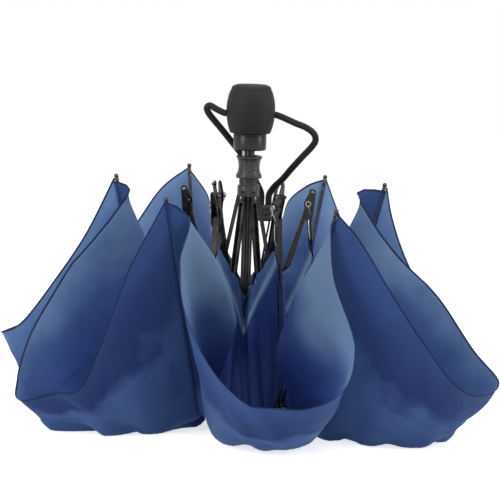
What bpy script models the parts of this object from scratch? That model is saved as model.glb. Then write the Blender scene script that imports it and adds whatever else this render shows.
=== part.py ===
"""Folding umbrella, collapsed but not wrapped: three-fold frame, six ribs, handle up, crown down.

Metres, +Z up. The origin is the centre of the crown cap's flat end, on the floor.
Rib numbers run anticlockwise from +X in steps of a sixth of a turn.
"""
import math

import bmesh
import bpy
from mathutils import Matrix, Vector

# Frame layout: places in a rib's own plane, as radius and height
RIB_COUNT = 6
CROWN_PIVOT_RADIUS = 0.0080
CROWN_PIVOT_HEIGHT = 0.0260
RUNNER_PIVOT_RADIUS = 0.0076
RUNNER_PIVOT_HEIGHT = 0.1930
KNEE_RADIUS = 0.0510
KNEE_HEIGHT = 0.1860
ELBOW_RADIUS = 0.0660
ELBOW_HEIGHT = 0.0190
OUTER_LENGTH = 0.1930
OUTER_HEADINGS = [math.radians(turn) for turn in (15.0, 21.5, 12.0, 14.0, 20.0, 23.5)]   # by rib
STRETCHER_SHARE = 0.4311      # stretcher's rivet on the main rib, as a share of the pivots' span
CRANK_ALONG = 0.0094          # the middle rib's short arm, up from the knee
CRANK_OUT = 0.0035
LINK_OFFSET = 0.0100          # link rivet, up the stretcher from its end rivet
OPEN_MAIN_HEADING = math.radians(76)   # main rib of the open umbrella, from straight up
STRETCHER_REACH = STRETCHER_SHARE * (RUNNER_PIVOT_HEIGHT - CROWN_PIVOT_HEIGHT)

# Ribs
RIB_HALF_DEPTH = 0.0017
RIB_WALL = 0.0006
MAIN_HALF_WIDTH = 0.0015
FORK_INNER = 0.0019
FORK_OUTER = 0.0025
TONGUE_HALF_WIDTH = 0.0013
TONGUE_LENGTH = 0.0080
FORK_LENGTH = 0.0090
ELBOW_FORK_LENGTH = 0.0130
MAIN_SOLID_END = 0.0050
EYE_HOLE_RADIUS = 0.0010
RIVET_RADIUS = 0.0006
RIVET_HOLE_RADIUS = 0.0009
RIVET_HEAD_RADIUS = 0.0013
RIVET_HEAD_HEIGHT = 0.0005
LINK_HALF_DEPTH = 0.0012
LINK_INNER = 0.0034
LINK_THICKNESS = 0.0006
ROD_RADIUS = 0.0011
ROD_EYE_RADIUS = 0.0020
TIP_BEAD_RADIUS = 0.0020
TIP_NECK_RADIUS = 0.0015
TIP_LENGTH = 0.0075
TIP_SWEEP = math.radians(135)
JOIN_OVERLAP = 0.0001

# Shaft
OUTER_TUBE_RADIUS = 0.0045
TUBE_WALL = 0.0004
TUBE_CLEARANCE = 0.0004
OUTER_TUBE_SEAT = 0.0040      # outer tube's end, inside the collar
MIDDLE_TUBE_SEAT = 0.0070
MIDDLE_TUBE_BOTTOM = 0.0120
INNER_TUBE_BOTTOM = 0.0160

# Crown
CAP_RADIUS = 0.0125
CAP_HEIGHT = 0.0160
CAP_FOOT_RADIUS = 0.0105
CAP_SHOULDER_RADIUS = 0.0100
CAP_BULGE_HEIGHT = 0.0045
CAP_EDGE = 0.0012
CAP_SOCKET_DEPTH = 0.0080
WASHER_RADIUS = 0.0110
WASHER_THICKNESS = 0.0010
NOTCH_RADIUS = 0.0106
NOTCH_HEIGHT = 0.0088
SLOT_ROOT_RADIUS = 0.0056
SLOT_CLEARANCE = 0.0003
WIRE_RADIUS = 0.0005
GROOVE_CLEARANCE = 0.00035

# Runner
RUNNER_RISE = 0.0320          # runner's top above the stretchers' pivots
RUNNER_TOP = RUNNER_PIVOT_HEIGHT + RUNNER_RISE
RUNNER_FLANGE_RADIUS = 0.0110
RUNNER_NECK_RADIUS = 0.0090
RUNNER_SKIRT_RADIUS = 0.0078
RUNNER_NOTCH_RADIUS = 0.0094
RUNNER_FLANGE = 0.0030
RUNNER_NECK = 0.0120
RUNNER_LOWER_FLANGE = 0.0040
RUNNER_SKIRT = 0.0055
RUNNER_NOTCH_BELOW = 0.0025
RUNNER_EDGE = 0.0008
RUNNER_COUNTERBORE_RADIUS = 0.0086
RUNNER_COUNTERBORE_DEPTH = 0.0030
RUNNER_BORE_CLEARANCE = 0.0004

# Handle
COLLAR_RADIUS = 0.0140
COLLAR_CLEARANCE = 0.0050     # open space between runner and collar
COLLAR_BOTTOM = RUNNER_TOP + COLLAR_CLEARANCE
COLLAR_HEIGHT = 0.0140
CORE_RADIUS = 0.0110
COLLAR_BORE_CLEARANCE = 0.0007
COLLAR_BORE_DEPTH = 0.0095
GRIP_FOOT_RADIUS = 0.0172
GRIP_BELLY_RADIUS = 0.0206
GRIP_TOP_RADIUS = 0.0168
GRIP_HEIGHT = 0.0416
GRIP_CEILING = 0.0136
CORE_CEILING = 0.0100
PIN_DEPTH = 0.0100
GRIP_DOME = 0.0016
GRIP_ROUND = 0.0035
CORD_HOLE_DROP = 0.0253       # below the grip's top
CORD_HOLE_DEPTH = 0.0080
CORD_HOLE_CLEARANCE = 0.0007
PIN_RADIUS = 0.0010
PIN_CLEARANCE = 0.0003
OUTER_TUBE_TOP = COLLAR_BOTTOM + OUTER_TUBE_SEAT
MIDDLE_TUBE_TOP = COLLAR_BOTTOM + MIDDLE_TUBE_SEAT
GRIP_TOP = COLLAR_BOTTOM + COLLAR_HEIGHT + GRIP_HEIGHT
CORD_HOLE_HEIGHT = GRIP_TOP - CORD_HOLE_DROP
CORE_TOP = GRIP_TOP - GRIP_CEILING
INNER_TUBE_TOP = CORE_TOP - CORE_CEILING
PIN_HEIGHT = INNER_TUBE_TOP - PIN_DEPTH

# Catches
CATCH_THICKNESS = 0.0004
CATCH_WIDTH = 0.0024
OPENING_CATCH_LENGTH = 0.0200
OPENING_CATCH_RISE = 0.0012
OPENING_CATCH_GAP = 0.0006
CATCH_SLOT_CLEARANCE = 0.0005
CLOSING_CATCH_RADIUS = 0.0064
CLOSING_CATCH_REACH = 0.0065  # above and below the collar's mouth
CLOSING_CATCH_TOP = COLLAR_BOTTOM + CLOSING_CATCH_REACH
CLOSING_CATCH_BOTTOM = COLLAR_BOTTOM - CLOSING_CATCH_REACH
CLOSING_CATCH_TOE = 0.0010
CLOSING_CATCH_TURN = math.radians(218)

# Wrist cord: each leg's route, with heights from the grip's side holes
CORD_DIAMETER = 0.0056
FERRULE_WIDTH = 0.0136
FERRULE_DEPTH = 0.0078
FERRULE_LENGTH = 0.0140
FERRULE_EDGE = 0.0016
CORD_LEFT_ROUTE = [
    (-0.0145, 0.0000, 0.0000), (-0.0180, 0.0000, 0.0000), (-0.0220, 0.0001, 0.0002),
    (-0.0285, 0.0008, 0.0029), (-0.0345, 0.0020, 0.0059), (-0.0372, 0.0034, 0.0037),
    (-0.0352, 0.0048, -0.0013),
    (-0.0295, 0.0072, -0.0083), (-0.0215, 0.0112, -0.0178), (-0.0135, 0.0160, -0.0278),
    (-0.0060, 0.0200, -0.0373), (0.0010, 0.0240, -0.0483), (0.0065, 0.0278, -0.0603),
    (0.0109, 0.0318, -0.0703), (0.0112, 0.0320, -0.0800)]
CORD_RIGHT_ROUTE = [
    (0.0145, 0.0000, 0.0000), (0.0180, 0.0000, 0.0000), (0.0220, 0.0001, -0.0003),
    (0.0295, 0.0010, -0.0031),
    (0.0380, 0.0022, -0.0068), (0.0470, 0.0036, -0.0103), (0.0538, 0.0052, -0.0153),
    (0.0556, 0.0072, -0.0213), (0.0525, 0.0100, -0.0273), (0.0450, 0.0140, -0.0363),
    (0.0365, 0.0190, -0.0468), (0.0290, 0.0240, -0.0568), (0.0225, 0.0285, -0.0638),
    (0.0180, 0.0317, -0.0713), (0.0176, 0.0320, -0.0800)]
CORD_STEP = 0.0060
CORD_FINE_PIECES = 12

# Canopy cloth
CLOTH_THICKNESS = 0.0012
CLOTH_STANDOFF = 0.0029
CLOTH_FLOOR = 0.0009
HEM_STANDOFF = 0.0035
HEM_DROP = 0.0020
PETAL_REACH = 0.2500
SEAM_GAP = 0.0007
HUB_CLOTH_RADIUS = 0.0065
HUB_CLOTH_EDGE = 0.0116
CREST_HEIGHT = 0.1520
CREST_HALF_WIDTH = 0.0040
CREST_DROP = 0.0060
SAG_RADIUS = 0.0285
SAG_HEIGHT = 0.0780
ELBOW_TUCK = 0.0068
FLOOR_INNER_RADIUS = 0.0500
FLOOR_SPREAD_SHARE = 0.95
FLOOR_TURN_SHARE = 0.72
FLOOR_TURN_POWER = 6
INNER_WALL_BOW = 1.5
OUTER_WALL_BELLY = 0.35
OUTER_WALL_RISE = 0.45
SETTLED_SWELL = PETAL_REACH / 8
FULL_SWELL = PETAL_REACH / 4
CLOTH_COLUMNS = 10

# Hem of each panel from rib to rib: turn across the panel's wedge (-1 to 1), then how far it
# has gone from the tips' radius to PETAL_REACH, and its height as a share of the tips'
HEM_SHARES = {
    1: [(-0.85, 0.04, 0.86), (-0.72, 0.14, 0.69), (-0.55, 0.31, 0.50), (-0.30, 0.50, 0.34),
        (0.00, 0.64, 0.25), (0.30, 0.58, 0.30), (0.52, 0.45, 0.41), (0.70, 0.30, 0.59), (0.86, 0.14, 0.79)],
    2: [(-0.80, -0.09, 0.96), (-0.52, -0.03, 0.86), (-0.35, 0.15, 0.63), (-0.18, 0.37, 0.42),
        (0.03, 0.53, 0.30), (0.22, 0.46, 0.36), (0.38, 0.28, 0.53), (0.50, 0.08, 0.73), (0.62, 0.00, 0.88)],
    3: [(-0.85, 0.20, 0.90), (-0.62, 0.32, 0.72), (-0.38, 0.50, 0.51), (-0.12, 0.68, 0.35),
        (0.12, 0.80, 0.29), (0.35, 0.84, 0.27), (0.57, 0.63, 0.34), (0.73, 0.40, 0.53), (0.88, 0.18, 0.75)],
    4: [(-0.88, 0.13, 0.77), (-0.75, 0.31, 0.57), (-0.57, 0.49, 0.37), (-0.30, 0.61, 0.20),
        (-0.08, 0.65, 0.14), (0.25, 0.51, 0.19), (0.48, 0.44, 0.23), (0.68, 0.38, 0.45), (0.85, 0.26, 0.74)],
    5: [(-0.84, -0.11, 0.92), (-0.78, 0.00, 0.77), (-0.62, 0.14, 0.60), (-0.30, 0.34, 0.39),
        (0.07, 0.49, 0.24), (0.45, 0.55, 0.24), (0.80, 0.51, 0.31), (0.97, 0.38, 0.48), (0.98, 0.18, 0.67)],
    6: [(-0.88, 0.18, 0.90), (-0.75, 0.38, 0.73), (-0.58, 0.59, 0.52), (-0.35, 0.73, 0.33),
        (-0.08, 0.78, 0.24), (0.22, 0.83, 0.27), (0.46, 0.60, 0.37), (0.65, 0.36, 0.55), (0.82, 0.13, 0.72)],
}
OUTER_WALL_SHARES = (0.22, 0.48, 0.76)
INNER_WALL_SHARES = (0.36, 0.74)
FIRST_WALL_SHARES = (0.28, 0.64)
CREST_ROW = 5
INNER_FOOT_ROW = 9
ELBOW_ROW = 10
FOOT_ROW = 11

TURN_STEP = 2 * math.pi / RIB_COUNT
SIDES_ROUND = 24
SIDES_SMALL = 8
SIDES_WIRE = 5
SIDES_RING = 18
SIDES_HOLE = 12
ARC_STEPS = 4
TIP_STEPS = 5
DOME_STEPS = 3
GRIP_WALL_STEPS = 5
MERGE_DISTANCE = 0.000005
SMOOTH_ANGLE = math.radians(35)


# Shared tools

def clear_scene():
    for old in list(bpy.data.objects):
        bpy.data.objects.remove(old, do_unlink=True)


def new_collection(name):
    made = bpy.data.collections.new(name)
    bpy.context.scene.collection.children.link(made)
    return made


def finish(name, colour, roughness, metallic=0.0):
    made = bpy.data.materials.new(name)
    made.use_nodes = True
    shader = made.node_tree.nodes["Principled BSDF"]
    shader.inputs["Base Color"].default_value = (*colour, 1.0)
    shader.inputs["Roughness"].default_value = roughness
    shader.inputs["Metallic"].default_value = metallic
    return made


def add_object(name, mesh, material):
    made = bpy.data.objects.new(name, mesh)
    if material is not None:
        if not mesh.materials:
            mesh.materials.append(material)
        parts.objects.link(made)
    else:
        cutters.objects.link(made)
        made.hide_render = True
        made.display_type = "WIRE"
    return made


def turned(name, profile, material, closed=False, sides=SIDES_ROUND):
    """A profile of (radius, height) points, from the top down its outer side, swept round Z."""
    mesh = bpy.data.meshes.new(name)
    points = [(radius, 0, height) for radius, height in profile]
    edges = [(i, i + 1) for i in range(len(points) - 1)]
    if closed:
        edges.append((len(points) - 1, 0))
    mesh.from_pydata(points, edges, [])
    made = add_object(name, mesh, material)
    screw = made.modifiers.new("Turn", "SCREW")
    screw.steps = sides
    screw.render_steps = sides
    screw.use_merge_vertices = True
    screw.merge_threshold = MERGE_DISTANCE
    screw.use_smooth_shade = False
    return made


def block(name, low, high, material=None):
    mesh = bpy.data.meshes.new(name)
    shape = bmesh.new()
    bmesh.ops.create_cube(shape, size=1.0)
    middle = (Vector(low) + Vector(high)) / 2
    span = Vector(high) - Vector(low)
    bmesh.ops.scale(shape, vec=span, verts=shape.verts)
    bmesh.ops.translate(shape, vec=middle, verts=shape.verts)
    shape.to_mesh(mesh)
    shape.free()
    return add_object(name, mesh, material)


def rod(name, start, end, radius, material=None, sides=SIDES_SMALL):
    mesh = bpy.data.meshes.new(name)
    shape = bmesh.new()
    start, end = Vector(start), Vector(end)
    bmesh.ops.create_cone(shape, cap_ends=True, segments=sides, radius1=radius, radius2=radius,
                          depth=(end - start).length)
    turn = (end - start).to_track_quat("Z", "Y").to_matrix().to_4x4()
    bmesh.ops.transform(shape, matrix=Matrix.Translation((start + end) / 2) @ turn, verts=shape.verts)
    shape.to_mesh(mesh)
    shape.free()
    return add_object(name, mesh, material)


def cut(target, cutter, operation="DIFFERENCE"):
    step = target.modifiers.new(operation.title(), "BOOLEAN")
    step.operation = operation
    step.solver = "EXACT"
    step.object = cutter
    return target


def baked_mesh(source, name):
    """The evaluated mesh of an object with its modifiers; the object itself is removed."""
    graph = bpy.context.evaluated_depsgraph_get()
    mesh = bpy.data.meshes.new_from_object(source.evaluated_get(graph))
    mesh.name = name
    mesh.materials.clear()
    bpy.data.objects.remove(source, do_unlink=True)
    return mesh


def smooth(target):
    target.data.shade_smooth()
    target.data.set_sharp_from_angle(angle=SMOOTH_ANGLE)


def strap(name, start, end, half_depth, side_low, side_high):
    """A flat bar with round ends, in the XZ plane, from start to end as (x, z)."""
    curve = bpy.data.curves.new(name, "CURVE")
    curve.dimensions = "2D"
    curve.fill_mode = "BOTH"
    curve.extrude = (side_high - side_low) / 2
    along = Vector(end) - Vector(start)
    heading = math.atan2(along.y, along.x)
    outline = []
    for centre, first in ((Vector(end), heading - math.pi / 2), (Vector(start), heading + math.pi / 2)):
        for step in range(ARC_STEPS + 1):
            turn = first + math.pi * step / ARC_STEPS
            outline.append(centre + half_depth * Vector((math.cos(turn), math.sin(turn))))
    spline = curve.splines.new("POLY")
    spline.points.add(len(outline) - 1)
    for point, place in zip(spline.points, outline):
        point.co = (place.x, place.y, 0, 1)
    spline.use_cyclic_u = True
    flat = bpy.data.objects.new(name, curve)
    cutters.objects.link(flat)
    mesh = baked_mesh(flat, name)
    bpy.data.curves.remove(curve)
    upright = Matrix.Translation((0, (side_low + side_high) / 2, 0)) @ Matrix.Rotation(math.pi / 2, 4, "X")
    shape = bmesh.new()
    shape.from_mesh(mesh)
    bmesh.ops.remove_doubles(shape, verts=shape.verts, dist=MERGE_DISTANCE)
    bmesh.ops.transform(shape, matrix=upright, verts=shape.verts)
    bmesh.ops.recalc_face_normals(shape, faces=shape.faces)
    shape.to_mesh(mesh)
    shape.free()
    return add_object(name, mesh, None)


def rivet(name, place, half_length):
    """A pin across the forks with a head at each end, centred on place as (x, z)."""
    inner = half_length - JOIN_OVERLAP
    outer = half_length + RIVET_HEAD_HEIGHT
    profile = [(0, outer), (RIVET_HEAD_RADIUS, outer), (RIVET_HEAD_RADIUS, inner), (RIVET_RADIUS, inner),
               (RIVET_RADIUS, -inner), (RIVET_HEAD_RADIUS, -inner), (RIVET_HEAD_RADIUS, -outer), (0, -outer)]
    made = turned(name, profile, None, sides=SIDES_SMALL)
    made.rotation_euler = (math.pi / 2, 0, 0)
    made.location = (place[0], 0, place[1])
    return made


def head(name, place, side_low, side_high, radius=RIVET_HEAD_RADIUS):
    return rod(name, (place[0], side_low, place[1]), (place[0], side_high, place[1]), radius)


# Linkage: where each piece stands at rest and when the umbrella is fully open

def heading_of(start, end):
    """Angle from straight up, outwards, of the line between two (radius, height) points."""
    return math.atan2(end[0] - start[0], end[1] - start[1])


def along(start, heading, distance):
    return (start[0] + distance * math.sin(heading), start[1] + distance * math.cos(heading))


def distance(start, end):
    return math.hypot(end[0] - start[0], end[1] - start[1])


CROWN_PIVOT = (CROWN_PIVOT_RADIUS, CROWN_PIVOT_HEIGHT)
RUNNER_PIVOT = (RUNNER_PIVOT_RADIUS, RUNNER_PIVOT_HEIGHT)
KNEE = (KNEE_RADIUS, KNEE_HEIGHT)
ELBOW = (ELBOW_RADIUS, ELBOW_HEIGHT)
MAIN_HEADING = heading_of(CROWN_PIVOT, KNEE)
MIDDLE_HEADING = heading_of(KNEE, ELBOW)
MAIN_LENGTH = distance(CROWN_PIVOT, KNEE)
MIDDLE_LENGTH = distance(KNEE, ELBOW)
STRETCHER_END = along(CROWN_PIVOT, MAIN_HEADING, STRETCHER_REACH)
STRETCHER_HEADING = heading_of(RUNNER_PIVOT, STRETCHER_END)
STRETCHER_LENGTH = distance(RUNNER_PIVOT, STRETCHER_END)
LINK_START = along(STRETCHER_END, STRETCHER_HEADING, -LINK_OFFSET)
LINK_END = (KNEE_RADIUS + CRANK_OUT, KNEE_HEIGHT + CRANK_ALONG)
LINK_HEADING = heading_of(LINK_START, LINK_END)
LINK_LENGTH = distance(LINK_START, LINK_END)
OPEN_STRETCHER_END = along(CROWN_PIVOT, OPEN_MAIN_HEADING, STRETCHER_REACH)
RUNNER_TRAVEL = RUNNER_PIVOT_HEIGHT - OPEN_STRETCHER_END[1] - math.sqrt(
    STRETCHER_LENGTH ** 2 - (OPEN_STRETCHER_END[0] - RUNNER_PIVOT_RADIUS) ** 2)


def tip_of(number):
    return along(ELBOW, OUTER_HEADINGS[number - 1], OUTER_LENGTH)


def place_on_rib(made, number, pivot, heading):
    """Stand a piece made along +Z at a pivot of rib `number`, leaning outwards by `heading`."""
    turn = (number - 1) * TURN_STEP
    made.rotation_euler = (0, heading, turn)
    made.location = (pivot[0] * math.cos(turn), pivot[0] * math.sin(turn), pivot[1])


# Ribs, each made along +Z with its pivot at the origin: X in the rib's plane, Y across it

def main_rib_mesh():
    """Channel open towards the shaft, with a solid eye at each end."""
    rib = strap("main_rib", (0, 0), (0, MAIN_LENGTH), RIB_HALF_DEPTH, -MAIN_HALF_WIDTH, MAIN_HALF_WIDTH)
    inside = MAIN_HALF_WIDTH - RIB_WALL
    deep = 2 * RIB_HALF_DEPTH
    cut(rib, block("channel", (-deep, -inside, MAIN_SOLID_END),
                   (RIB_HALF_DEPTH - RIB_WALL, inside, MAIN_LENGTH - MAIN_SOLID_END)))
    side = 2 * MAIN_HALF_WIDTH
    cut(rib, rod("eye", (0, -side, 0), (0, side, 0), EYE_HOLE_RADIUS))
    cut(rib, rod("eye", (0, -side, MAIN_LENGTH), (0, side, MAIN_LENGTH), RIVET_HOLE_RADIUS))
    return baked_mesh(rib, "main_rib")


def stretcher_mesh():
    """Channel with a narrow tongue at the runner and an open fork round the main rib."""
    deep = 2 * RIB_HALF_DEPTH
    rib = strap("stretcher", (0, 0), (0, STRETCHER_LENGTH), RIB_HALF_DEPTH, -FORK_OUTER, FORK_OUTER)
    cut(rib, block("channel", (-deep, -FORK_INNER, TONGUE_LENGTH),
                   (RIB_HALF_DEPTH - RIB_WALL, FORK_INNER, STRETCHER_LENGTH + deep)))
    cut(rib, block("fork", (-deep, -FORK_INNER, STRETCHER_LENGTH - FORK_LENGTH),
                   (deep, FORK_INNER, STRETCHER_LENGTH + deep)))
    for side in (-1, 1):
        near, far = sorted((side * TONGUE_HALF_WIDTH, side * 2 * FORK_OUTER))
        cut(rib, block("tongue", (-deep, near, -deep), (deep, far, TONGUE_LENGTH - RIB_HALF_DEPTH)))
        low, high = sorted((side * (FORK_OUTER - JOIN_OVERLAP), side * (FORK_OUTER + RIVET_HEAD_HEIGHT)))
        cut(rib, head("rivet", (0, STRETCHER_LENGTH), low, high), "UNION")
    cut(rib, rod("eye", (0, -FORK_OUTER, 0), (0, FORK_OUTER, 0), EYE_HOLE_RADIUS))
    return baked_mesh(rib, "stretcher")


def link_bar_mesh():
    """Thin flat bar beside the main rib, which turns the middle rib about the knee."""
    outer = LINK_INNER + LINK_THICKNESS
    rib = strap("link_bar", (0, 0), (0, LINK_LENGTH), LINK_HALF_DEPTH, LINK_INNER, outer)
    for place in (0, LINK_LENGTH):
        cut(rib, head("rivet", (0, place), outer - JOIN_OVERLAP, outer + RIVET_HEAD_HEIGHT,
                      LINK_HALF_DEPTH - 2 * JOIN_OVERLAP), "UNION")
    return baked_mesh(rib, "link_bar")


def middle_rib_mesh():
    """Channel forked at both ends, with a short crank past the knee and a rivet at each joint."""
    deep = 2 * RIB_HALF_DEPTH
    lean = heading_of((0, 0), (CRANK_OUT, CRANK_ALONG)) - MIDDLE_HEADING
    crank = math.hypot(CRANK_OUT, CRANK_ALONG)
    crank_end = (crank * math.sin(lean), crank * math.cos(lean))
    rib = strap("middle_rib", (0, 0), (0, MIDDLE_LENGTH), RIB_HALF_DEPTH, -FORK_OUTER, FORK_OUTER)
    arm_side = FORK_OUTER - JOIN_OVERLAP
    cut(rib, strap("crank", (0, 0), crank_end, RIB_HALF_DEPTH - JOIN_OVERLAP, -arm_side, arm_side), "UNION")
    beyond = abs(crank_end[0]) + deep
    cut(rib, block("fork", (-beyond, -FORK_INNER, crank_end[1] - deep), (beyond, FORK_INNER, FORK_LENGTH)))
    cut(rib, block("channel", (RIB_WALL - RIB_HALF_DEPTH, -FORK_INNER, FORK_LENGTH - JOIN_OVERLAP),
                   (deep, FORK_INNER, MIDDLE_LENGTH - ELBOW_FORK_LENGTH + JOIN_OVERLAP)))
    cut(rib, block("fork", (-deep, -FORK_INNER, MIDDLE_LENGTH - ELBOW_FORK_LENGTH),
                   (deep, FORK_INNER, MIDDLE_LENGTH + deep)))
    cut(rib, rivet("rivet", (0, 0), FORK_OUTER), "UNION")
    cut(rib, rivet("rivet", (0, MIDDLE_LENGTH), FORK_OUTER), "UNION")
    cut(rib, head("rivet", crank_end, arm_side - JOIN_OVERLAP, FORK_OUTER + RIVET_HEAD_HEIGHT), "UNION")
    return baked_mesh(rib, "middle_rib")


def outer_rib_mesh():
    """Round rod with a flattened eye between the middle rib's fork."""
    rib = rod("outer_rib", (0, 0, 0), (0, 0, OUTER_LENGTH - TIP_LENGTH), ROD_RADIUS)
    cut(rib, rod("eye", (0, -TONGUE_HALF_WIDTH, 0), (0, TONGUE_HALF_WIDTH, 0), ROD_EYE_RADIUS), "UNION")
    cut(rib, rod("eye", (0, -FORK_INNER, 0), (0, FORK_INNER, 0), RIVET_HOLE_RADIUS))
    return baked_mesh(rib, "outer_rib")


def rib_tip_mesh():
    """Moulded bead on the rod's end, with a neck for the cloth's stitches."""
    foot = OUTER_LENGTH - TIP_LENGTH + SLOT_CLEARANCE
    centre = OUTER_LENGTH - TIP_BEAD_RADIUS
    profile = []
    for step in range(TIP_STEPS + 1):
        turn = TIP_SWEEP * step / TIP_STEPS
        profile.append((TIP_BEAD_RADIUS * math.sin(turn), centre + TIP_BEAD_RADIUS * math.cos(turn)))
    profile += [(TIP_NECK_RADIUS, profile[-1][1] - JOIN_OVERLAP), (TIP_NECK_RADIUS, foot), (0, foot)]
    return baked_mesh(turned("rib_tip", profile, None, sides=SIDES_SMALL), "rib_tip")


def add_ribs():
    steel = finish("black_lacquered_steel", (0.012, 0.012, 0.014), 0.25, 0.6)
    nickel = finish("nickel_plated_bead", (0.55, 0.53, 0.50), 0.3, 1.0)
    pieces = [
        ("main_rib", main_rib_mesh(), CROWN_PIVOT, MAIN_HEADING, steel),
        ("stretcher", stretcher_mesh(), RUNNER_PIVOT, STRETCHER_HEADING, steel),
        ("link_bar", link_bar_mesh(), LINK_START, LINK_HEADING, steel),
        ("middle_rib", middle_rib_mesh(), KNEE, MIDDLE_HEADING, steel),
        ("outer_rib", outer_rib_mesh(), ELBOW, OUTER_HEADINGS, steel),
        ("rib_tip", rib_tip_mesh(), ELBOW, OUTER_HEADINGS, nickel),
    ]
    for kind, mesh, pivot, heading, material in pieces:
        for number in range(1, RIB_COUNT + 1):
            made = add_object(f"{kind}_{number}", mesh, material)
            own = heading[number - 1] if heading is OUTER_HEADINGS else heading
            place_on_rib(made, number, pivot, own)
            smooth(made)


# Crown: cap, washer, slotted notch and wire ring

def add_crown(plastic, spring):
    tube_room = OUTER_TUBE_RADIUS + SLOT_CLEARANCE
    socket_floor = CAP_HEIGHT - CAP_SOCKET_DEPTH
    turned("crown_cap", crown_cap_profile(tube_room, socket_floor), plastic)
    washer_low = CAP_HEIGHT + SLOT_CLEARANCE
    washer_high = washer_low + WASHER_THICKNESS
    turned("crown_washer", ring_profile(tube_room, WASHER_RADIUS, washer_low, washer_high), plastic,
           closed=True)
    notch_low = washer_high + CLOTH_THICKNESS + 2 * SLOT_CLEARANCE
    notch = turned("crown_notch", ring_profile(tube_room, NOTCH_RADIUS, notch_low, notch_low + NOTCH_HEIGHT),
                   plastic, closed=True)
    cut_notch(notch, CROWN_PIVOT, MAIN_HALF_WIDTH, notch_low + NOTCH_HEIGHT, 1)
    add_wire_ring("crown_wire_ring", CROWN_PIVOT, spring)


def crown_cap_profile(tube_room, socket_floor):
    return [(0, socket_floor), (tube_room, socket_floor), (tube_room, CAP_HEIGHT),
            (CAP_SHOULDER_RADIUS, CAP_HEIGHT), (CAP_RADIUS, CAP_BULGE_HEIGHT),
            (CAP_RADIUS, CAP_BULGE_HEIGHT - CAP_EDGE), (CAP_FOOT_RADIUS, 0), (0, 0)]


def ring_profile(inner, outer, low, high):
    return [(inner, high), (outer, high), (outer, low), (inner, low)]


def cut_notch(notch, pivot, half_width, mouth, side):
    """Cut the wire's groove and a slot for each rib into a ring, from its mouth (side 1 up, -1 down)."""
    beyond = side * (RIB_HALF_DEPTH + WIRE_RADIUS)
    groove_end = pivot[1] - side * (WIRE_RADIUS + GROOVE_CLEARANCE)
    low, high = sorted((groove_end, mouth + beyond))
    half_groove = WIRE_RADIUS + GROOVE_CLEARANCE
    groove = turned(notch.name + "_groove", ring_profile(pivot[0] - half_groove, pivot[0] + half_groove, low,
                                                         high), None, closed=True)
    cut(notch, groove)
    slot_end = pivot[1] - side * (RIB_HALF_DEPTH + 2 * SLOT_CLEARANCE)
    low, high = sorted((slot_end, mouth + beyond))
    half_slot = half_width + SLOT_CLEARANCE
    for number in range(1, RIB_COUNT + 1):
        slot = block(f"{notch.name}_slot", (SLOT_ROOT_RADIUS, -half_slot, low),
                     (2 * RUNNER_FLANGE_RADIUS, half_slot, high))
        slot.rotation_euler = (0, 0, (number - 1) * TURN_STEP)
        cut(notch, slot)


def add_wire_ring(name, pivot, spring):
    bpy.ops.mesh.primitive_torus_add(location=(0, 0, pivot[1]), major_radius=pivot[0],
                                     minor_radius=WIRE_RADIUS, major_segments=SIDES_RING,
                                     minor_segments=SIDES_WIRE)
    ring = bpy.context.object
    ring.name = name
    ring.data.materials.append(spring)
    for holder in list(ring.users_collection):
        holder.objects.unlink(ring)
    parts.objects.link(ring)


# Shaft: three telescoping tubes

def add_shaft():
    steel = finish("black_painted_tube", (0.015, 0.015, 0.017), 0.3, 0.5)
    tubes = [("outer_tube", CAP_HEIGHT - CAP_SOCKET_DEPTH + SLOT_CLEARANCE, OUTER_TUBE_TOP),
             ("middle_tube", MIDDLE_TUBE_BOTTOM, MIDDLE_TUBE_TOP),
             ("inner_tube", INNER_TUBE_BOTTOM, INNER_TUBE_TOP)]
    for order, (name, low, high) in enumerate(tubes):
        radius = OUTER_TUBE_RADIUS - order * (TUBE_WALL + TUBE_CLEARANCE)
        turned(name, ring_profile(radius - TUBE_WALL, radius, low, high), steel, closed=True)
    across = 2 * CORE_RADIUS
    cut(bpy.data.objects["inner_tube"],
        rod("pin_hole", (0, -across, PIN_HEIGHT), (0, across, PIN_HEIGHT), PIN_RADIUS + PIN_CLEARANCE))


# Runner: a waisted sleeve with the stretchers' notch at its lower end

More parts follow.
